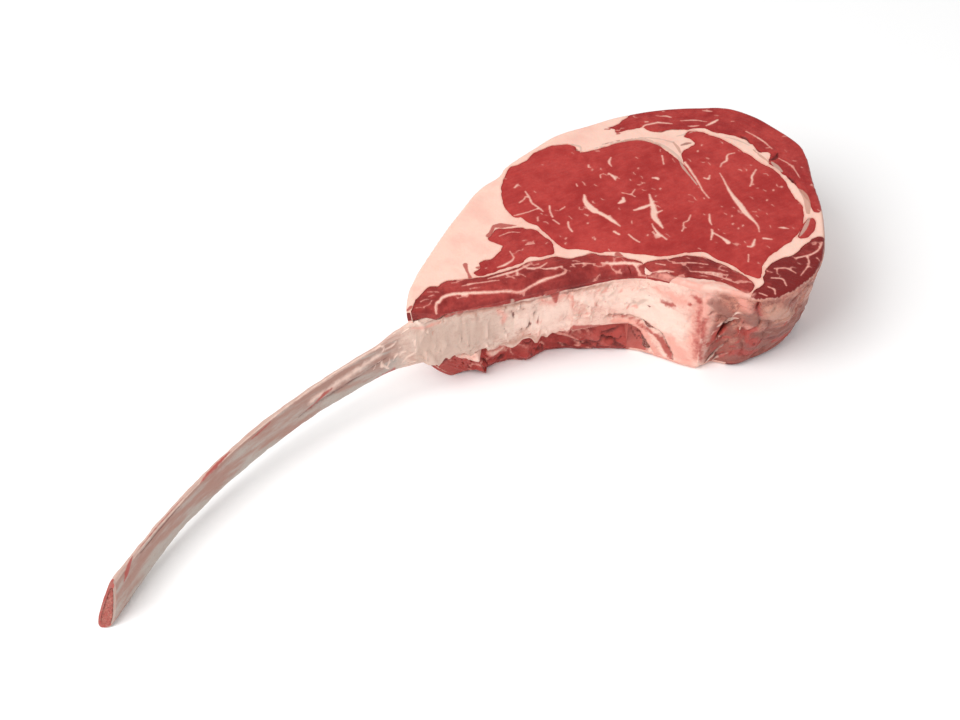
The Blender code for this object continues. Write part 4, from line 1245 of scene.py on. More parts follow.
def outer_skin(node, sheet, spot, gap):
    """How far the skin of the outer wall covers a muscle: none above its lower edge, and on
    the strip only above its ragged upper edge."""
    if node == "intercostal_lean":
        edge_z = np.interp(spot[:, 0] - FRONT_FROM, *STRIP_EDGE)
        on_front = (sheet == 1) & (spot[:, 0] > FRONT_FROM)
        return np.where(on_front, ease(spot[:, 1] - edge_z, -0.8, 1.0), 0.0)
    lowest = SKIN_TOP - SKIN_DROP * ease(spot[:, 0] - FRONT_FROM, *SKIN_DROP_AT)
    on_wall = np.where(sheet == 1, ease(lowest - spot[:, 1], -0.6, 1.4), 0.0)
    if node != "end_lean":
        return on_wall
    return np.maximum(on_wall, (sheet == 0) * (1 - ease(gap, 0.0, RIM_SKIN)))


def muscle(node, region, slot_name, chosen=None, groove=GROOVE, more=None, tone=0.0, **shape):
    """A muscle's slab, with its region's flecks of fat and what its wall shows. Without chosen
    triangles it takes the whole region."""
    chosen = part_of(region) if chosen is None else chosen
    more = more or {}
    piece, sheet, spot = slab(node + "_meat", chosen, groove=groove, **shape)
    paint(piece, sheet, spot, "fat", FAT_IN[region], more.get("fat", []), seed=len(node))
    paint_wall(piece, sheet, spot, more)
    used = np.unique(triangles[chosen])
    gap = np.r_[to_edge[used], to_edge[used], np.zeros(len(sheet) - 2 * len(used))]
    attribute(piece, "skin", outer_skin(node, sheet, spot, gap))
    attribute(piece, "tone", np.full(len(sheet), tone))
    stand(piece, node, slot_name)


# %% Where some slabs end inside the steak
BAND_BEHIND, BAND_BEHIND_FROM = 27, (9.5, 10.5)


def band_bottom(used):
    """The band's underside: its lip on the rib in front, and down behind the rib."""
    behind = BAND_BEHIND * ease(to_edge[used], *BAND_BEHIND_FROM)
    return lip_height(place[used]) - behind


def block_top(used, z_top):
    """The block reaches the upper face only where the band doesn't lie over it."""
    open_part = np.unique(triangles[label == "block"])
    return np.where(np.isin(used, open_part), z_top, lip_height(place[used]) - 0.15)


def block_bottom(used):
    """The block stands on the floor right of the strip, and on the strip left of it."""
    floor = bottom_height(place[used], to_edge[used])
    return np.where(plan[used, 0] > STRIP_END - 0.01, floor, UNDERCUT_TOP)


def strip_top(used, z_top):
    """The strip under the rib ends below it."""
    return np.full(len(used), UNDERCUT_TOP)


print("the strip ends", UNDERCUT_TOP, "mm above the floor")

# %% The muscles
muscle("eye_lean", "eye", "eye_meat", levels=2)
muscle("tail_lean", "tail", "outer_meat", levels=2, heading=15.0)
muscle("side_lean", "side", "outer_meat", levels=2)
muscle("inner_lean", "inner", "dark_meat", levels=2, heading=-42.0)
muscle("cap_lean", "cap", "outer_meat", heading=None)
muscle("end_lean", "end", "dark_meat", heading=-62.0, tone=-0.2)
whole_band = part_of("band", "band_block")
muscle("rib_lean", "band", "dark_meat", whole_band, bottom=band_bottom, heading=None)
muscle("intercostal_lean", "band", "dark_meat", whole_band & (centres[:, 0] < STRIP_END),
       groove=0, top=strip_top, set_back=True, rough=STRIP_ROUGH, tone=0.07, more=STRIP_MORE,
       strip=True)

# %% The fat
# The side of the block's step is seen past the strip, and it's as red as the strip.
STEP_X = STRIP_END - 0.3
STEP_SIDE = [stroke((3.4, 3.4), (STEP_X, -40), (STEP_X, -24), soft=0.4)]


def fat_slab(node, chosen, slot_name, **shape):
    """A slab of fat, with the threads of lean in it and what its wall shows."""
    piece, sheet, spot = slab(node + "_body", chosen, **shape)
    paint_wall(piece, sheet, spot, {})
    layer = piece.data.attributes["red"]
    field = np.empty(len(sheet))
    layer.data.foreach_get("value", field)
    threads = inside_strokes(spot, LEAN_THREADS + STEP_SIDE)
    threads = np.where(sheet != 1, threads, OUTSIDE_STROKES)
    layer.data.foreach_set("value", np.maximum(field, threads).astype(np.float32))
    stand(piece, node, slot_name)


fat_slab("chine_fat", part_of("block", "band_block"), "pale_fat", top=block_top,
         bottom=block_bottom, set_back=True)
fat_slab("cover_fat", part_of("cover"), "fat")

# %% [markdown]
# ## The rib
#
# A rib is a flat curved bone: a thin shell of hard bone round a red spongy core. It was scraped
# bare for a handle, so its face is smooth and grey with a few stains, and a little skin still
# clings to its upper edge. Its section is carried along the curve of its inner face.

# %% The rib's path
RIB_INNER_END = -62.3
RIB_THICK, RIB_CREST = 8.2, 3.0
RIB_PROFILE = smooth((
    (0, 0, 25.5), (20, 0.8, 24.6), (50, 5.6, 25.6), (70, 7.6, 27), (100, 9.8, 29.8),
    (120, 11.5, 31.8), (150, 14.6, 35), (170, 16.3, 38), (190, 18.6, 42), (203, 20, 46.5),
    (215, 20, 48), (300, 20, 48),
), 1.0).T
RIB_FACE_TOP = ((20, 50, 70, 100, 120, 150, 170, 190), (24, 25, 26, 29, 31, 34, 37, 40))
CUT_SLANT, CUT_LEAN, CUT_REACH = 0.45, 0.28, 30.0
CORTEX, CORTEX_AT_CREST = 1.2, 4.0
SIDES, FILM_HANGS = 110, 3.4
TORN_FROM, TORN_PALE_FROM = 198, 175
SKIN_FROM, INWARD_FROM = (176, 200), (232, 277)
ENTERS_WALL = (178.0, 204.0)
ARC_MIDDLE, ARC_RADIUS = (-146.0, -301.0), 293.0

# The bare part is an arc of a circle; on the steak the rib follows the front edge.
arc_x = np.linspace(-325.0, -165.0, 40)[::6]
arc_y = ARC_MIDDLE[1] + np.sqrt(ARC_RADIUS ** 2 - (arc_x - ARC_MIDDLE[0]) ** 2)
rib_arc = np.column_stack([arc_x, arc_y])
rib_wall = [p for p in FRONT_EDGE if -145 < p[0] <= -50]
rib_line = smooth(np.vstack([rib_arc, [(-154, -8.3), (-143, -10.2)], rib_wall]), 1.0)
rib_line = rib_line[rib_line[:, 0] <= -54.0]
rib_s = np.r_[0, np.cumsum(np.linalg.norm(np.diff(rib_line, axis=0), axis=1))]
rib_full = np.interp(RIB_INNER_END, rib_line[:, 0], rib_s)
print(f"the rib is {rib_s[-1]:.0f} mm long")


# %% The rib's section
def rib_surface(s, turn, inset=0.0):
    """The rib's surface at a distance s from the tip and an angle round its section. The
    section is flat on its inner face and thins from its lower edge to its crest; it gets
    squarer in the wall. The cut end leans with the height and slants across the bone."""
    low, high = (np.interp(s, RIB_PROFILE[0], edge) for edge in RIB_PROFILE[1:])
    in_wall = ease(s, *ENTERS_WALL)
    high = high + (lip_height(s - RIB_FROM + FRONT_FROM) - 0.3 - high) * in_wall
    across = np.sign(np.sin(turn)) * np.abs(np.sin(turn)) ** (0.6 - 0.3 * in_wall)
    up = np.sign(np.cos(turn)) * np.abs(np.cos(turn)) ** (0.8 - 0.4 * in_wall)
    bottom, top = low + inset, high - inset * CORTEX_AT_CREST
    level = bottom + (top - bottom) / 2 * (1 + up)
    climb = np.clip((level - low) / (high - low), 0, 1)
    half = (RIB_THICK + (RIB_CREST - RIB_THICK) * climb) / 2
    depth = half + (half - inset) * across
    plan_at = np.column_stack([np.interp(s, rib_s, k) for k in rib_line.T])
    ahead = np.column_stack([np.interp(s + 1, rib_s, k) - np.interp(s - 1, rib_s, k)
                             for k in rib_line.T])
    ahead /= np.linalg.norm(ahead, axis=1)[:, None]
    behind = np.column_stack([-ahead[:, 1], ahead[:, 0]])
    slant = (CUT_LEAN * level - CUT_SLANT * depth) * np.clip(1 - s / CUT_REACH, 0, 1)
    sink = 1.6 * ease(s, rib_full - 2, rib_full + 5)
    place_2d = plan_at + behind * (depth + sink)[:, None] + ahead * slant[:, None]
    calm = np.minimum(ease(level - low, 0, 2.0), ease(high - level, 0, 2.0))
    return np.column_stack([place_2d, level]), behind, across, up, depth, in_wall * calm


def tube(name, rings):
    """A closed surface from rings of points, with a point in the middle of each end."""
    count, sides = rings.shape[:2]
    grid = np.arange(count * sides).reshape(count, sides)
    a, b = grid[:-1], grid[1:]
    quads = np.stack([a, np.roll(a, -1, 1), np.roll(b, -1, 1), b], axis=2).reshape(-1, 4)
    points = np.vstack([rings.reshape(-1, 3), rings[0].mean(0), rings[-1].mean(0)])
    last = count * sides
    first_fan = np.column_stack([np.roll(grid[0], -1), grid[0], np.full(sides, last)])
    last_fan = np.column_stack([grid[-1], np.roll(grid[-1], -1), np.full(sides, last + 1)])
    return make_object(name, points, [quads, first_fan, last_fan])


# %% The rib's unevenness
def rib_relief(s, level, depth, turn):
    """Fine unevenness of scraped bone: long shallow grooves, and ragged edges."""
    round_at = np.column_stack([s / 14, level / 5, depth / 4])
    long_grooves = 0.26 * layered(round_at, 1.0, 61, 4)
    fine = 0.12 * layered(np.column_stack([s, level * 1.5, depth * 2]), 3.0, 62)
    edges = ease(np.abs(np.cos(turn)), 0.8, 1.0)
    ragged = edges * (0.15 + 0.2 * (np.cos(turn) > 0))
    ragged = ragged * layered(np.column_stack([s, np.sign(np.cos(turn)) * 3]), 7.0, 63, 3)
    return long_grooves + fine + ragged


RIB_CREASES = (
    (-0.7, (0.4, 1.2, 1.2, 0.4), (132, 21.6), (146, 23.4), (160, 25), (187, 31), 0.5),
    (-0.4, (0.3, 0.9, 0.3), (26, 22.6), (40, 23.4), (56, 24.8), 0.5),
    (-0.6, (0.4, 1.2, 0.4), (150, 15.6), (164, 17.4), (178, 18.8), 0.5),
    (1.0, (1.2, 2.4, 1.8, 0.8), (198.4, 49.5), (200.6, 46.4), (201, 43), (199.4, 40.4), 0.6),
    (0.7, (0.5, 1.5, 0.5), (186, 27), (188.6, 31), (192, 33), 0.4),
    (0.5, (1, 4.4, 4, 1), (8, 19), (11, 22), (15, 25), (19, 27), 1.0),
    (0.5, (0.8, 2.6, 3.4, 2.4, 0.8), (71, 27), (76, 28.2), (81, 28.8), (86, 29.6), (91, 30.8), 0.8),
)

# %% The rib's surface
stations = np.r_[np.array([0, 0.25, 0.6, 1.1]), np.arange(1.8, rib_s[-1], 0.9)]
round_turns = np.linspace(0, 2 * np.pi, SIDES, endpoint=False)
s_grid, t_grid = (g.ravel() for g in np.meshgrid(stations, round_turns, indexing="ij"))
surface, behind, across, up, depth, wall_share = rib_surface(s_grid, t_grid)
level = surface[:, 2].copy()
slope_k = np.interp(s_grid, (0, 100, 190), (2.6, 1.6, 1.1))
drawn_at = level + slope_k * depth
swell = rib_relief(s_grid, level, depth, t_grid) * np.clip(s_grid / 3, 0.3, 1)
swell *= 1 - ease(s_grid, 186, 204)
swell += bumps_at(s_grid, drawn_at, RIB_CREASES) * (across < 0.3)
surface[:, :2] += behind * (swell * across)[:, None]
surface[:, 2] = np.maximum(surface[:, 2] + swell * up, 0.0)
# Ragged films hang from its lower edge, over the strip.
film = np.maximum(layered(s_grid[:, None], 5.5, 64, 4) + 0.1, 0) * FILM_HANGS
surface[:, 2] -= film * ease(s_grid, 188, 204) * ease(-up, 0.5, 0.95)
wall_at = s_grid - RIB_FROM + FRONT_FROM
torn_off = (wall_relief(wall_at, level, ROUGH) + folds(wall_at, level)) * wall_share
surface[:, :2] -= behind * (torn_off * ease(-across, 0.2, 0.8))[:, None]
# The shell turns into the cut end and back along the spongy core.
rim_rings = [rib_surface(np.full(SIDES, s_at), round_turns, inset)[0]
             for s_at, inset in ((3.0, CORTEX), (0.3, CORTEX), (0.0, 0.95), (0.0, 0.5))]
rib = tube("rib_bone_shell", np.vstack([rim_rings, surface.reshape(-1, SIDES, 3)]))

# %% What the rib's points show
rim_count = len(rim_rings) * SIDES
ends = np.zeros(2)


def on_rib(values, on_rim=0.0):
    """Values of the outer surface, with one value for the rim's rings and 0 for the ends."""
    return np.r_[np.full(rim_count, on_rim), values, ends]


rib_at, rib_front = on_rib(s_grid), on_rib(-across)
rib_level, rib_drawn = on_rib(level, 10.0), on_rib(drawn_at, 10.0)
red_rim = np.r_[np.tile(np.sin(round_turns) > -0.55, len(rim_rings)),
                (s_grid < 0.4) & (np.sin(t_grid) > -0.1), ends > 0]
for kind in WALL_KINDS:
    own = inside_strokes(np.column_stack([rib_at, rib_drawn]), strokes_of(RIB.get(kind, ())))
    own = np.where(rib_front > -0.35, own, OUTSIDE_STROKES)
    wall_marks = inside_strokes(np.column_stack([rib_at, rib_level]), strokes_of(FRONT[kind], RIB_FROM))
    marked = (rib_front > 0.2) & (rib_at > (TORN_PALE_FROM if kind == "pale" else TORN_FROM))
    field = np.maximum(own, np.where(marked, wall_marks, OUTSIDE_STROKES))
    if kind == "red":
        field = np.where(red_rim, 0.6, field)
    attribute(rib, kind, field)
crest_from = np.interp(rib_at, *RIB_FACE_TOP)
attribute(rib, "crest", ease(rib_drawn - crest_from, -0.6, 1.6) * (rib_at > 0))
attribute(rib, "skin", ease(rib_at, *SKIN_FROM))
attribute(rib, "inward", ease(rib_at, *INWARD_FROM))
lower_edge = np.interp(rib_at, RIB_PROFILE[0], RIB_PROFILE[1])
attribute(rib, "upper", ease(rib_level - (0.5 * lower_edge + 0.5 * crest_from), -5.0, 5.0))
grain_attribute(rib, np.column_stack([rib_at, rib_drawn, rib_level]))
stand(rib, "rib_bone", "bone")

# %% [markdown]
# ## The spongy core
#
# The saw has opened the rib's end. Inside the hard shell there is red spongy bone, with pores
# that catch the light. Its face is sunk a little and made uneven with noise, and its colour
# comes from a material of its own.

# %% The spongy core at the cut end
CORE_INSET, FACE_RINGS = CORTEX + 0.06, 24
core_rim = rib_surface(np.zeros(SIDES), round_turns, CORE_INSET)[0]
shares = np.linspace(0.04, 0.98, FACE_RINGS)[:, None, None]
core_face = core_rim.mean(0) + (core_rim - core_rim.mean(0)) * shares
core_deep = [rib_surface(np.full(SIDES, deep), round_turns, CORE_INSET)[0]
             for deep in (0.4, 2.0, 6.0, 12.0)]
tip_ahead = (rib_line[1] - rib_line[0]) / np.linalg.norm(rib_line[1] - rib_line[0])
face_points = core_face.reshape(-1, 3)
recess = 0.30 + 0.34 * layered(face_points, 1.3, 71, 3)
face_points[:, :2] += tip_ahead * np.maximum(recess, 0.0)[:, None]
core = tube("marrow_core", np.vstack([face_points.reshape(core_face.shape), [core_rim], core_deep]))
stand(core, "marrow", "marrow")

# %% [markdown]
# ## Materials
#
# Raw meat is bright where it's cut and wet; along its seams it is painted darker, as shade in
# the grooves there. Its fat is pinkish white. Shared node groups make the tissue, and each
# material has its own colours and shine.
# A painted texture would be simpler, but it would blur close up. Nodes stay sharp, and they
# read the strokes' depths that the pieces carry as attributes.


# %% Helpers for shader nodes
def feed(tree, socket, value):
    """Links another node's socket to this one, or sets a plain value on it."""
    if isinstance(value, bpy.types.NodeSocket):
        tree.links.new(value, socket)
    else:
        socket.default_value = value


def add(tree, kind, **inputs):
    """A node of a kind; a value or a socket for each input by its name."""
    made = tree.nodes.new(kind)
    for name, value in inputs.items():
        feed(tree, next(s for s in made.inputs if s.name == name and s.enabled), value)
    return made


def maths(tree, operation, a, b=0.0):
    """One arithmetic step on two numbers or sockets."""
    made = tree.nodes.new("ShaderNodeMath")
    made.operation = operation
    for socket, value in zip(made.inputs, (a, b)):
        feed(tree, socket, value)
    return made.outputs[0]


def plus(tree, a, b, amount=1.0):
    """A number or socket plus another one times an amount."""
    return maths(tree, "ADD", a, b if amount == 1.0 else maths(tree, "MULTIPLY", b, amount))


def soft_step(tree, value, low, high, amount=1.0):
    """0 below low and the amount above high, with a smooth climb between."""
    made = tree.nodes.new("ShaderNodeMapRange")
    made.interpolation_type = "SMOOTHSTEP"
    tree.links.new(value, made.inputs["Value"])
    made.inputs["From Min"].default_value = low
    made.inputs["From Max"].default_value = high
    made.inputs["To Max"].default_value = amount
    return made.outputs["Result"]


def blend(tree, factor, a, b):
    """Colour a where the factor is 0 and b where it's 1."""
    made = tree.nodes.new("ShaderNodeMix")
    made.data_type = "RGBA"
    for number, value in ((0, factor), (6, a), (7, b)):
        feed(tree, made.inputs[number], value)
    return made.outputs[2]


def speckle(tree, vector, size, detail=2.0, stretch=None):
    """Noise with features of about this size in millimetres."""
    if stretch:
        mapped = add(tree, "ShaderNodeMapping", Vector=vector, Scale=stretch)
        vector = mapped.outputs["Vector"]
    made = add(tree, "ShaderNodeTexNoise", Vector=vector, Scale=1 / (size * MM), Detail=detail)
    return made.outputs["Fac"]


def cells(tree, vector, size):
    """Distance to the nearest of scattered points about this far apart, from 0 to 1."""
    made = add(tree, "ShaderNodeTexVoronoi", Vector=vector, Scale=1 / (size * MM))
    return made.outputs["Distance"]


def new_group(name, colours, values):
    """An empty node group with colour and number inputs, and the three outputs of a tissue."""
    group = bpy.data.node_groups.new(name, "ShaderNodeTree")
    new_socket = group.interface.new_socket
    for socket_name in ("Vector", "Grain"):
        new_socket(socket_name, in_out="INPUT", socket_type="NodeSocketVector")
    for socket_name in colours:
        new_socket(socket_name, in_out="INPUT", socket_type="NodeSocketColor")
    for socket_name in values:
        made = new_socket(socket_name, in_out="INPUT", socket_type="NodeSocketFloat")
        made.default_value = OUTSIDE_STROKES
    new_socket("Colour", in_out="OUTPUT", socket_type="NodeSocketColor")
    new_socket("Roughness", in_out="OUTPUT", socket_type="NodeSocketFloat")
    new_socket("Height", in_out="OUTPUT", socket_type="NodeSocketFloat")
    return group, group.nodes.new("NodeGroupInput").outputs, group.nodes.new("NodeGroupOutput")


def centred(tree, value, amount):
    """A noise moved to the middle, times an amount."""
    return maths(tree, "MULTIPLY", maths(tree, "SUBTRACT", value, 0.5), amount)


def patch(tree, vector, depth, grain, waver=1.2, amount=1.0):
    """Where a painted stroke covers: its depth plus noise of this grain, from -1 to 1."""
    shaken = plus(tree, depth, centred(tree, speckle(tree, vector, grain, 3.0), waver * 2))
    return soft_step(tree, shaken, -1.0, 1.0, amount)


# %% Colours of what is painted, and of the skins
# Dark is painted shade, for slits, holes, creases and gaps; so is the tan under the lean's lip.
WALL_COLOURS = {
    "Pale": (0.92, 0.68, 0.58, 1), "Grey": (0.58, 0.41, 0.335, 1), "Pink": (0.77, 0.33, 0.265, 1),
    "Tan": (0.55, 0.29, 0.22, 1), "Brown": (0.29, 0.115, 0.09, 1), "Red": (0.42, 0.065, 0.052, 1),
    "Dark": (0.13, 0.022, 0.02, 1),
}
WALL_EDGES = {
    "Pale": (3.0, 1.2, 0.75), "Grey": (5.0, 1.3, 0.7), "Pink": (3.0, 1.3, 0.8),
    "Tan": (3.0, 1.3, 0.8), "Brown": (3.0, 1.3, 0.8), "Red": (1.8, 1.2, 0.88),
    "Dark": (1.2, 0.8, 0.8),
}
SIDE_TAN, SIDE_GREY = (0.54, 0.225, 0.165, 1), (0.33, 0.12, 0.092, 1)
SIDE_PALE, SIDE_RED = (0.62, 0.31, 0.24, 1), (0.42, 0.085, 0.065, 1)
SHADED_FOOT_LEAN, SIDE_CREASE_SHADE = (0.29, 0.075, 0.06, 1), (0.20, 0.055, 0.045, 1)
WALL_VEIN, BONE_VEIN, CREST_STAIN = (0.60, 0.30, 0.24, 1), (0.36, 0.17, 0.14, 1), (0.48, 0.23, 0.19, 1)
BODY, BLUSH, STAIN = (0.85, 0.575, 0.485), (0.80, 0.455, 0.375), (0.68, 0.335, 0.27)
GREY_BODY, GREY_BLUSH, GREY_STAIN = (0.72, 0.53, 0.445), (0.62, 0.43, 0.355), (0.52, 0.30, 0.24)


print("kinds of patches:", ", ".join(WALL_COLOURS))


# %% Patches, veins and skins
def torn(tree, given, colour):
    """Every kind of painted patch over a colour, each with its own grain and strength."""
    # The dark patches are painted shade, and so is the tan band under the lean's lip.
    for kind, patch_colour in WALL_COLOURS.items():
        grain, waver, amount = WALL_EDGES[kind]
        cover = patch(tree, given["Vector"], given[kind], grain, waver, amount)
        colour = blend(tree, cover, colour, patch_colour)
    return colour


def veined(tree, vector, colour, vein_colour, size, width, amount):
    """Thin wavering lines, where a noise passes through its middle value."""
    wavering_at = speckle(tree, vector, size, 4.0, (0.6, 1.0, 1.0))
    away_from = maths(tree, "ABSOLUTE", maths(tree, "SUBTRACT", wavering_at, 0.5))
    return blend(tree, soft_step(tree, away_from, width, 0.0, amount), colour, vein_colour)


def side_skin(tree, given):
    """The tan dried skin of the side wall: greyer panels, red blotches, creases of painted shade,
    and a dark band of lean at its foot that is partly painted shade.
    """
    v = given["Vector"]
    skin = blend(tree, soft_step(tree, speckle(tree, v, 8.0, 5.0), 0.42, 0.60), SIDE_TAN, SIDE_GREY)
    pale_here = soft_step(tree, speckle(tree, v, 2.6, 5.0), 0.52, 0.70, 0.6)
    skin = blend(tree, pale_here, skin, SIDE_PALE)
    elsewhere = add(tree, "ShaderNodeMapping", Vector=v, Location=(0.3, 0, 0)).outputs["Vector"]
    red_here = soft_step(tree, speckle(tree, elsewhere, 6.5, 5.0), 0.55, 0.68, 0.65)
    skin = blend(tree, red_here, skin, SIDE_RED)
    # Towards the floor the wall turns to a dark band: lean at its cut edge, with the shade there painted
    # in.
    height = add(tree, "ShaderNodeSeparateXYZ", Vector=v).outputs["Z"]
    low = plus(tree, height, centred(tree, speckle(tree, v, 12.0, 4.0), 0.05))
    skin = blend(tree, soft_step(tree, low, 0.036, 0.014, 0.8), skin, SHADED_FOOT_LEAN)
    # Thin dark lines: painted shade of creases.
    skin = veined(tree, v, skin, SIDE_CREASE_SHADE, 5.0, 0.022, 0.55)
    return veined(tree, given["Grain"], skin, SIDE_CREASE_SHADE, 2.4, 0.03, 0.35)


def wall_skin(tree, given, body, blush, stain):
    """Fat and membrane of the torn front wall: pale, stained pink in blots and thin lines."""
    v = given["Vector"]
    skin = blend(tree, soft_step(tree, speckle(tree, v, 14.0, 4.0), 0.42, 0.72, 0.6), body, blush)
    skin = blend(tree, soft_step(tree, speckle(tree, v, 4.5, 5.0), 0.50, 0.70, 0.55), skin, stain)
    skin = blend(tree, soft_step(tree, speckle(tree, v, 1.8, 4.0), 0.56, 0.76, 0.4), skin, stain)
    skin = veined(tree, given["Grain"], skin, stain, 6.0, 0.02, 0.6)
    return veined(tree, v, skin, WALL_VEIN, 3.2, 0.016, 0.4)


# %% Tissue of lean meat
def meat_group():
    """Lean meat: fibre bundles, wet mottling, flecks of fat, and skin on the outer wall."""
    tree, given, out = new_group("Meat", ("Bright", "Deep", "Fleck", "Fringe"),
                                 ("Fat", "Edge", "Outer", "Side", "Tone", *WALL_COLOURS))
    v = given["Vector"]
    wide = speckle(tree, v, 22.0, 3.0)
    mottle = speckle(tree, v, 4.5, 3.0)
    streaks = speckle(tree, given["Grain"], 1.5, 3.0, (0.16, 1.0, 0.6))
    bundles = cells(tree, v, 1.6)
    grain = speckle(tree, v, 0.7, 2.0)
    tone = plus(tree, maths(tree, "MULTIPLY", wide, 0.8), mottle, 0.5)
    tone = plus(tree, plus(tree, tone, streaks, 0.22), given["Tone"])
    tone = soft_step(tree, tone, 0.54, 1.0)
    lean = blend(tree, tone, given["Deep"], given["Bright"])
    lean = blend(tree, soft_step(tree, bundles, 0.35, 0.9, 0.28), lean, given["Deep"])
    lean = blend(tree, soft_step(tree, streaks, 0.62, 0.82, 0.06), lean, given["Fringe"])
    lean = blend(tree, soft_step(tree, grain, 0.60, 0.76, 0.11), lean, given["Fringe"])
    # Near its border the lean is painted darker: painted shade where it dips into the groove there.
    away_from_edge = soft_step(tree, given["Edge"], 0.1, 1.1, 0.45)
    lean = blend(tree, maths(tree, "SUBTRACT", 0.45, away_from_edge), lean, given["Deep"])
    shaken = plus(tree, given["Fat"], centred(tree, speckle(tree, v, 1.5, 5.0), 4.0))
    halo = soft_step(tree, given["Fat"], -4.0, -0.5, 0.08)
    lean = blend(tree, halo, lean, given["Fringe"])
    surface = blend(tree, soft_step(tree, shaken, -1.2, 0.7, 0.85), lean, given["Fringe"])
    fleck = soft_step(tree, shaken, 0.5, 3.6)
    surface = blend(tree, maths(tree, "MULTIPLY", fleck, 0.95), surface, given["Fleck"])
    mask = plus(tree, given["Outer"], centred(tree, speckle(tree, v, 6.0, 4.0), 1.2))
    mask = soft_step(tree, mask, 0.45, 0.75, 0.94)
    skin = wall_skin(tree, given, (*BODY, 1), (*BLUSH, 1), (*STAIN, 1))
    skin = blend(tree, given["Side"], skin, side_skin(tree, given))
    surface = blend(tree, mask, surface, skin)
    tree.links.new(torn(tree, given, surface), out.inputs["Colour"])
    rough = plus(tree, plus(tree, 0.34, grain, 0.16), fleck, 0.06)
    tree.links.new(rough, out.inputs["Roughness"])
    height = plus(tree, maths(tree, "MULTIPLY", bundles, -0.35), grain, 0.5)
    height = plus(tree, plus(tree, height, fleck, 0.5), streaks, 0.8)
    tree.links.new(plus(tree, height, mottle), out.inputs["Height"])
    return tree


# %% Tissue of fat
def fat_group():
    """Fat and membrane: pale, with pink mottling, threads of lean, tan patches, and painted shade in
    slits, gaps and under the lean's lip.
    """
    tree, given, out = new_group("Fat", ("Body", "Blush", "Stain"),
                                 ("Edge", "Side", "Wall", *WALL_COLOURS))
    v = given["Vector"]
    wide = speckle(tree, v, 14.0, 4.0)
    fine = speckle(tree, v, 1.4, 3.0)
    middle = speckle(tree, v, 4.0, 4.0)
    body = blend(tree, soft_step(tree, wide, 0.42, 0.72, 0.75), given["Body"], given["Blush"])
    body = blend(tree, soft_step(tree, fine, 0.52, 0.78, 0.25), body, given["Blush"])
    away_from_edge = soft_step(tree, given["Edge"], 0.0, 1.0, 0.5)
    body = blend(tree, maths(tree, "SUBTRACT", 0.5, away_from_edge), body, given["Stain"])
    skin = wall_skin(tree, given, given["Body"], given["Blush"], given["Stain"])
    body = blend(tree, given["Wall"], body, skin)
    body = blend(tree, given["Side"], body, side_skin(tree, given))
    tree.links.new(torn(tree, given, body), out.inputs["Colour"])
    tree.links.new(plus(tree, 0.38, fine, 0.2), out.inputs["Roughness"])
    tree.links.new(plus(tree, plus(tree, wide, fine, 0.4), middle, 0.6), out.inputs["Height"])
    return tree


# %% Tissue of bone and of its core
def bone_group():
    """Bare bone that turns into skinned wall: grey, pink on its crest, stained here and there."""
    tree, given, out = new_group("Bone", ("Bare", "Warm", "Crest"),
                                 ("On crest", "Upper", "In wall", "Inward", *WALL_COLOURS))
    v = given["Vector"]
    long_grain = speckle(tree, given["Grain"], 7.0, 4.0, (0.3, 1.0, 1.0))
    fine = speckle(tree, v, 1.2, 3.0)
    warm = plus(tree, long_grain, given["Upper"], 0.18)
    body = blend(tree, soft_step(tree, warm, 0.44, 0.72, 0.9), given["Bare"], given["Warm"])
    body = veined(tree, given["Grain"], body, BONE_VEIN, 3.0, 0.025, 0.3)
    crest = plus(tree, given["On crest"], centred(tree, fine, 0.8))
    crest = soft_step(tree, crest, 0.3, 0.8, 0.9)
    stained = speckle(tree, given["Grain"], 1.6, 4.0, (0.3, 1.0, 1.0))
    stained = soft_step(tree, stained, 0.52, 0.70, 0.5)
    body = blend(tree, crest, body, blend(tree, stained, given["Crest"], CREST_STAIN))
    wall = plus(tree, given["In wall"], centred(tree, speckle(tree, v, 7.0, 4.0), 1.0))
    wall = soft_step(tree, wall, 0.3, 0.8)
    skin = wall_skin(tree, given, *[
        blend(tree, given["Inward"], (*grey, 1), (*plain, 1))
        for grey, plain in ((GREY_BODY, BODY), (GREY_BLUSH, BLUSH), (GREY_STAIN, STAIN))])
    body = blend(tree, wall, body, skin)
    tree.links.new(torn(tree, given, body), out.inputs["Colour"])
    tree.links.new(plus(tree, 0.36, fine, 0.2), out.inputs["Roughness"])
    tree.links.new(plus(tree, long_grain, fine, 0.4), out.inputs["Height"])
    return tree


def marrow_group():
    """Spongy bone: red, with small dark pores and pale struts."""
    tree, given, out = new_group("Spongy core", ("Red", "Pore", "Strut"), ())
    v = given["Vector"]
    pores = cells(tree, v, 1.1)
    fine = speckle(tree, v, 1.6, 3.0)
    body = blend(tree, soft_step(tree, fine, 0.4, 0.7, 0.6), given["Red"], given["Strut"])
    body = blend(tree, soft_step(tree, pores, 0.25, 0.05, 0.7), body, given["Pore"])
    tree.links.new(body, out.inputs["Colour"])
    tree.links.new(plus(tree, 0.5, fine, 0.2), out.inputs["Roughness"])
    tree.links.new(plus(tree, pores, fine), out.inputs["Height"])
    return tree


MEAT, FAT, BONE, CORE = meat_group(), fat_group(), bone_group(), marrow_group()
print("tissues:", ", ".join(group.name for group in (MEAT, FAT, BONE, CORE)))


# %% Materials for the slots
BUMP_DEEP = 0.0008
SCATTER_RADIUS, SCATTER_SCALE = (1.0, 0.35, 0.25), 0.002


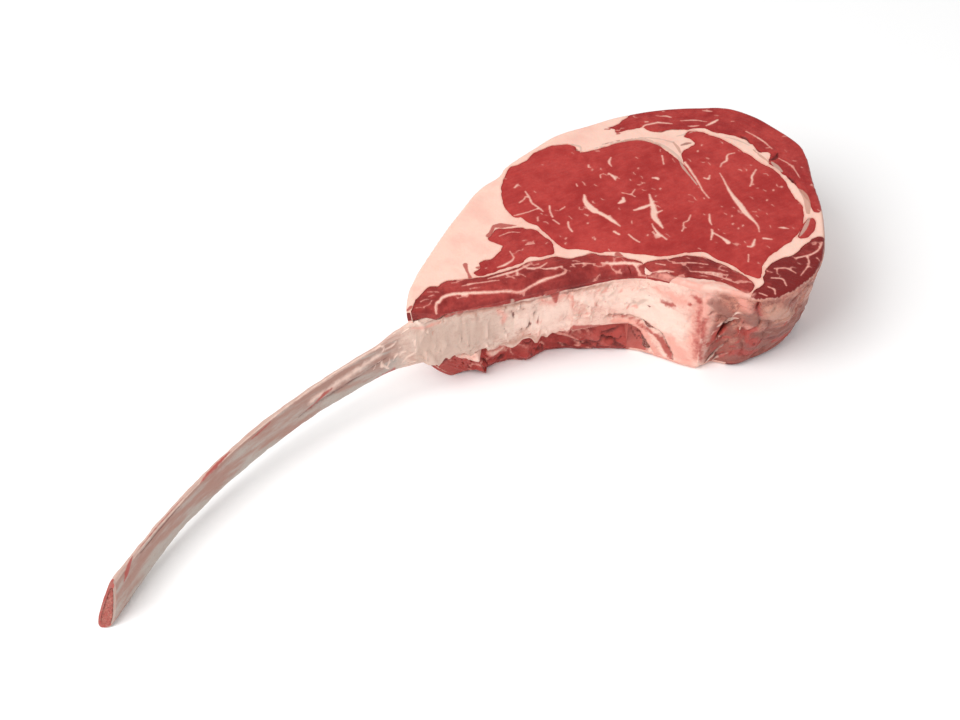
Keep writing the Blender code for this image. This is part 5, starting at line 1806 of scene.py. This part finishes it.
def material(name, group, colours, fields, bump, soft, shine):
    """A material: the group's colour, roughness and relief, on a shader with a little
    scattering under the surface."""
    made = bpy.data.materials.new(name)
    made.use_nodes = True
    tree = made.node_tree
    shader = tree.nodes["Principled BSDF"]
    tissue = tree.nodes.new("ShaderNodeGroup")
    tissue.node_tree = group
    where = tree.nodes.new("ShaderNodeTexCoord")
    tree.links.new(where.outputs["Object"], tissue.inputs["Vector"])
    for socket, colour in colours.items():
        tissue.inputs[socket].default_value = (*colour, 1)
    for socket, field in fields.items():
        reader = tree.nodes.new("ShaderNodeAttribute")
        reader.attribute_name = field
        kind = "Vector" if socket == "Grain" else "Fac"
        tree.links.new(reader.outputs[kind], tissue.inputs[socket])
    relief = tree.nodes.new("ShaderNodeBump")
    relief.inputs["Strength"].default_value = bump
    relief.inputs["Distance"].default_value = BUMP_DEEP
    tree.links.new(tissue.outputs["Height"], relief.inputs["Height"])
    tree.links.new(relief.outputs["Normal"], shader.inputs["Normal"])
    tree.links.new(tissue.outputs["Colour"], shader.inputs["Base Color"])
    tree.links.new(tissue.outputs["Roughness"], shader.inputs["Roughness"])
    shader.inputs["Subsurface Weight"].default_value = soft
    shader.inputs["Subsurface Radius"].default_value = SCATTER_RADIUS
    shader.inputs["Subsurface Scale"].default_value = SCATTER_SCALE
    shader.inputs["Specular IOR Level"].default_value = shine
    return made


WALL_FIELDS = {kind: kind.lower() for kind in WALL_COLOURS}
WALL_FIELDS["Grain"] = "grain"
MEAT_FIELDS = {"Fat": "fat", "Edge": "edge", "Outer": "skin", "Side": "side", "Tone": "tone",
               **WALL_FIELDS}
FAT_FIELDS = {"Edge": "edge", "Side": "side", "Wall": "wall", **WALL_FIELDS}
BONE_FIELDS = {"On crest": "crest", "Upper": "upper", "In wall": "skin", "Inward": "inward",
               **WALL_FIELDS}
FLECKS = {"Fleck": (0.86, 0.55, 0.45), "Fringe": (0.70, 0.27, 0.22)}
PALE_FAT = {"Body": BODY, "Blush": BLUSH, "Stain": STAIN}
EYE_RED = {"Bright": (0.51, 0.054, 0.046), "Deep": (0.36, 0.023, 0.021), **FLECKS}
OUTER_RED = {"Bright": (0.48, 0.052, 0.044), "Deep": (0.30, 0.017, 0.017), **FLECKS}
DARK_RED = {"Bright": (0.44, 0.052, 0.043), "Deep": (0.19, 0.011, 0.010), **FLECKS}
FIRM_FAT = {"Body": (0.90, 0.59, 0.485), "Blush": (0.85, 0.48, 0.395), "Stain": (0.74, 0.33, 0.26)}
BARE_BONE = {"Bare": (0.455, 0.385, 0.34), "Warm": (0.39, 0.205, 0.162),
             "Crest": (0.60, 0.41, 0.345)}
SPONGE = {"Red": (0.40, 0.105, 0.085), "Pore": (0.20, 0.02, 0.02), "Strut": (0.52, 0.23, 0.18)}
# For each slot: tissue, colours, attributes, relief, scattering under the surface, shine.
LOOKS = {
    "eye_meat": (MEAT, EYE_RED, MEAT_FIELDS, 0.25, 0.12, 0.2),
    "outer_meat": (MEAT, OUTER_RED, MEAT_FIELDS, 0.4, 0.12, 0.2),
    "dark_meat": (MEAT, DARK_RED, MEAT_FIELDS, 0.5, 0.12, 0.25),
    "fat": (FAT, FIRM_FAT, FAT_FIELDS, 0.3, 0.15, 0.2),
    "pale_fat": (FAT, PALE_FAT, FAT_FIELDS, 0.6, 0.15, 0.2),
    "bone": (BONE, BARE_BONE, BONE_FIELDS, 0.5, 0.08, 0.25),
    "marrow": (CORE, SPONGE, {}, 0.6, 0.1, 0.25),
}
looks = {slot_name: material(slot_name, *look) for slot_name, look in LOOKS.items()}
for piece in pieces.values():
    piece.data.materials.clear()
    piece.data.materials.append(looks[piece["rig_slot"]])
print("materials:", ", ".join(looks))

# %% [markdown]
# ## Stage, light and camera
#
# A pale floor, one large soft light from the upper left behind and a weaker fill, as in a
# product photo. The camera looks down at 45 degrees.

# %% Floor
floor_mesh = bpy.data.meshes.new("floor")
half = 4.0
floor_mesh.from_pydata([(-half, -half, 0), (half, -half, 0), (half, half, 0), (-half, half, 0)],
                       [], [(0, 1, 2, 3)])
floor = bpy.data.objects.new("floor", floor_mesh)
bpy.context.scene.collection.objects.link(floor)
floor.location.z = -0.0002
floor_look = bpy.data.materials.new("floor")
floor_look.use_nodes = True
floor_shader = floor_look.node_tree.nodes["Principled BSDF"]
floor_shader.inputs["Base Color"].default_value = (1, 1, 1, 1)
floor_shader.inputs["Roughness"].default_value = 0.8
floor_shader.inputs["Specular IOR Level"].default_value = 0.1
floor_mesh.materials.append(floor_look)
print("floor:", 2 * half, "m wide")


# %% Lights and camera
LIGHT_TARGET, CAMERA_TARGET = (-0.08, -0.02, 0.02), (-0.1028, -0.0051, 0.0)
CAMERA_AT, CAMERA_LENS = (-0.4811, -0.6603, 0.7566), 81.2


def aim(item, place_at, target):
    """Puts a light or camera at a place, looking at a target."""
    item.location = place_at
    direction = np.array(target) - np.array(place_at)
    item.rotation_euler = Vector(direction).to_track_quat("-Z", "Y").to_euler()


def area_light(name, place_at, size, power):
    """A square soft light that looks at the steak."""
    data = bpy.data.lights.new(name, "AREA")
    data.size = size
    data.energy = power
    lamp = bpy.data.objects.new(name, data)
    bpy.context.scene.collection.objects.link(lamp)
    aim(lamp, place_at, LIGHT_TARGET)


area_light("key", (-1.10, -0.15, 1.30), 1.1, 20.0)
area_light("fill", (0.1, -1.3, 0.9), 1.4, 3.0)
world = bpy.data.worlds.new("studio")
bpy.context.scene.world = world
world.use_nodes = True
world.node_tree.nodes["Background"].inputs["Color"].default_value = (1, 1, 1, 1)
world.node_tree.nodes["Background"].inputs["Strength"].default_value = 0.60

camera_data = bpy.data.cameras.new("camera")
camera_data.sensor_width = 36.0
camera_data.lens = CAMERA_LENS
camera = bpy.data.objects.new("camera", camera_data)
bpy.context.scene.collection.objects.link(camera)
aim(camera, CAMERA_AT, CAMERA_TARGET)
bpy.context.scene.camera = camera
bpy.context.scene.view_settings.view_transform = "Standard"

print("camera at", CAMERA_AT, "with a lens of", CAMERA_LENS, "mm")
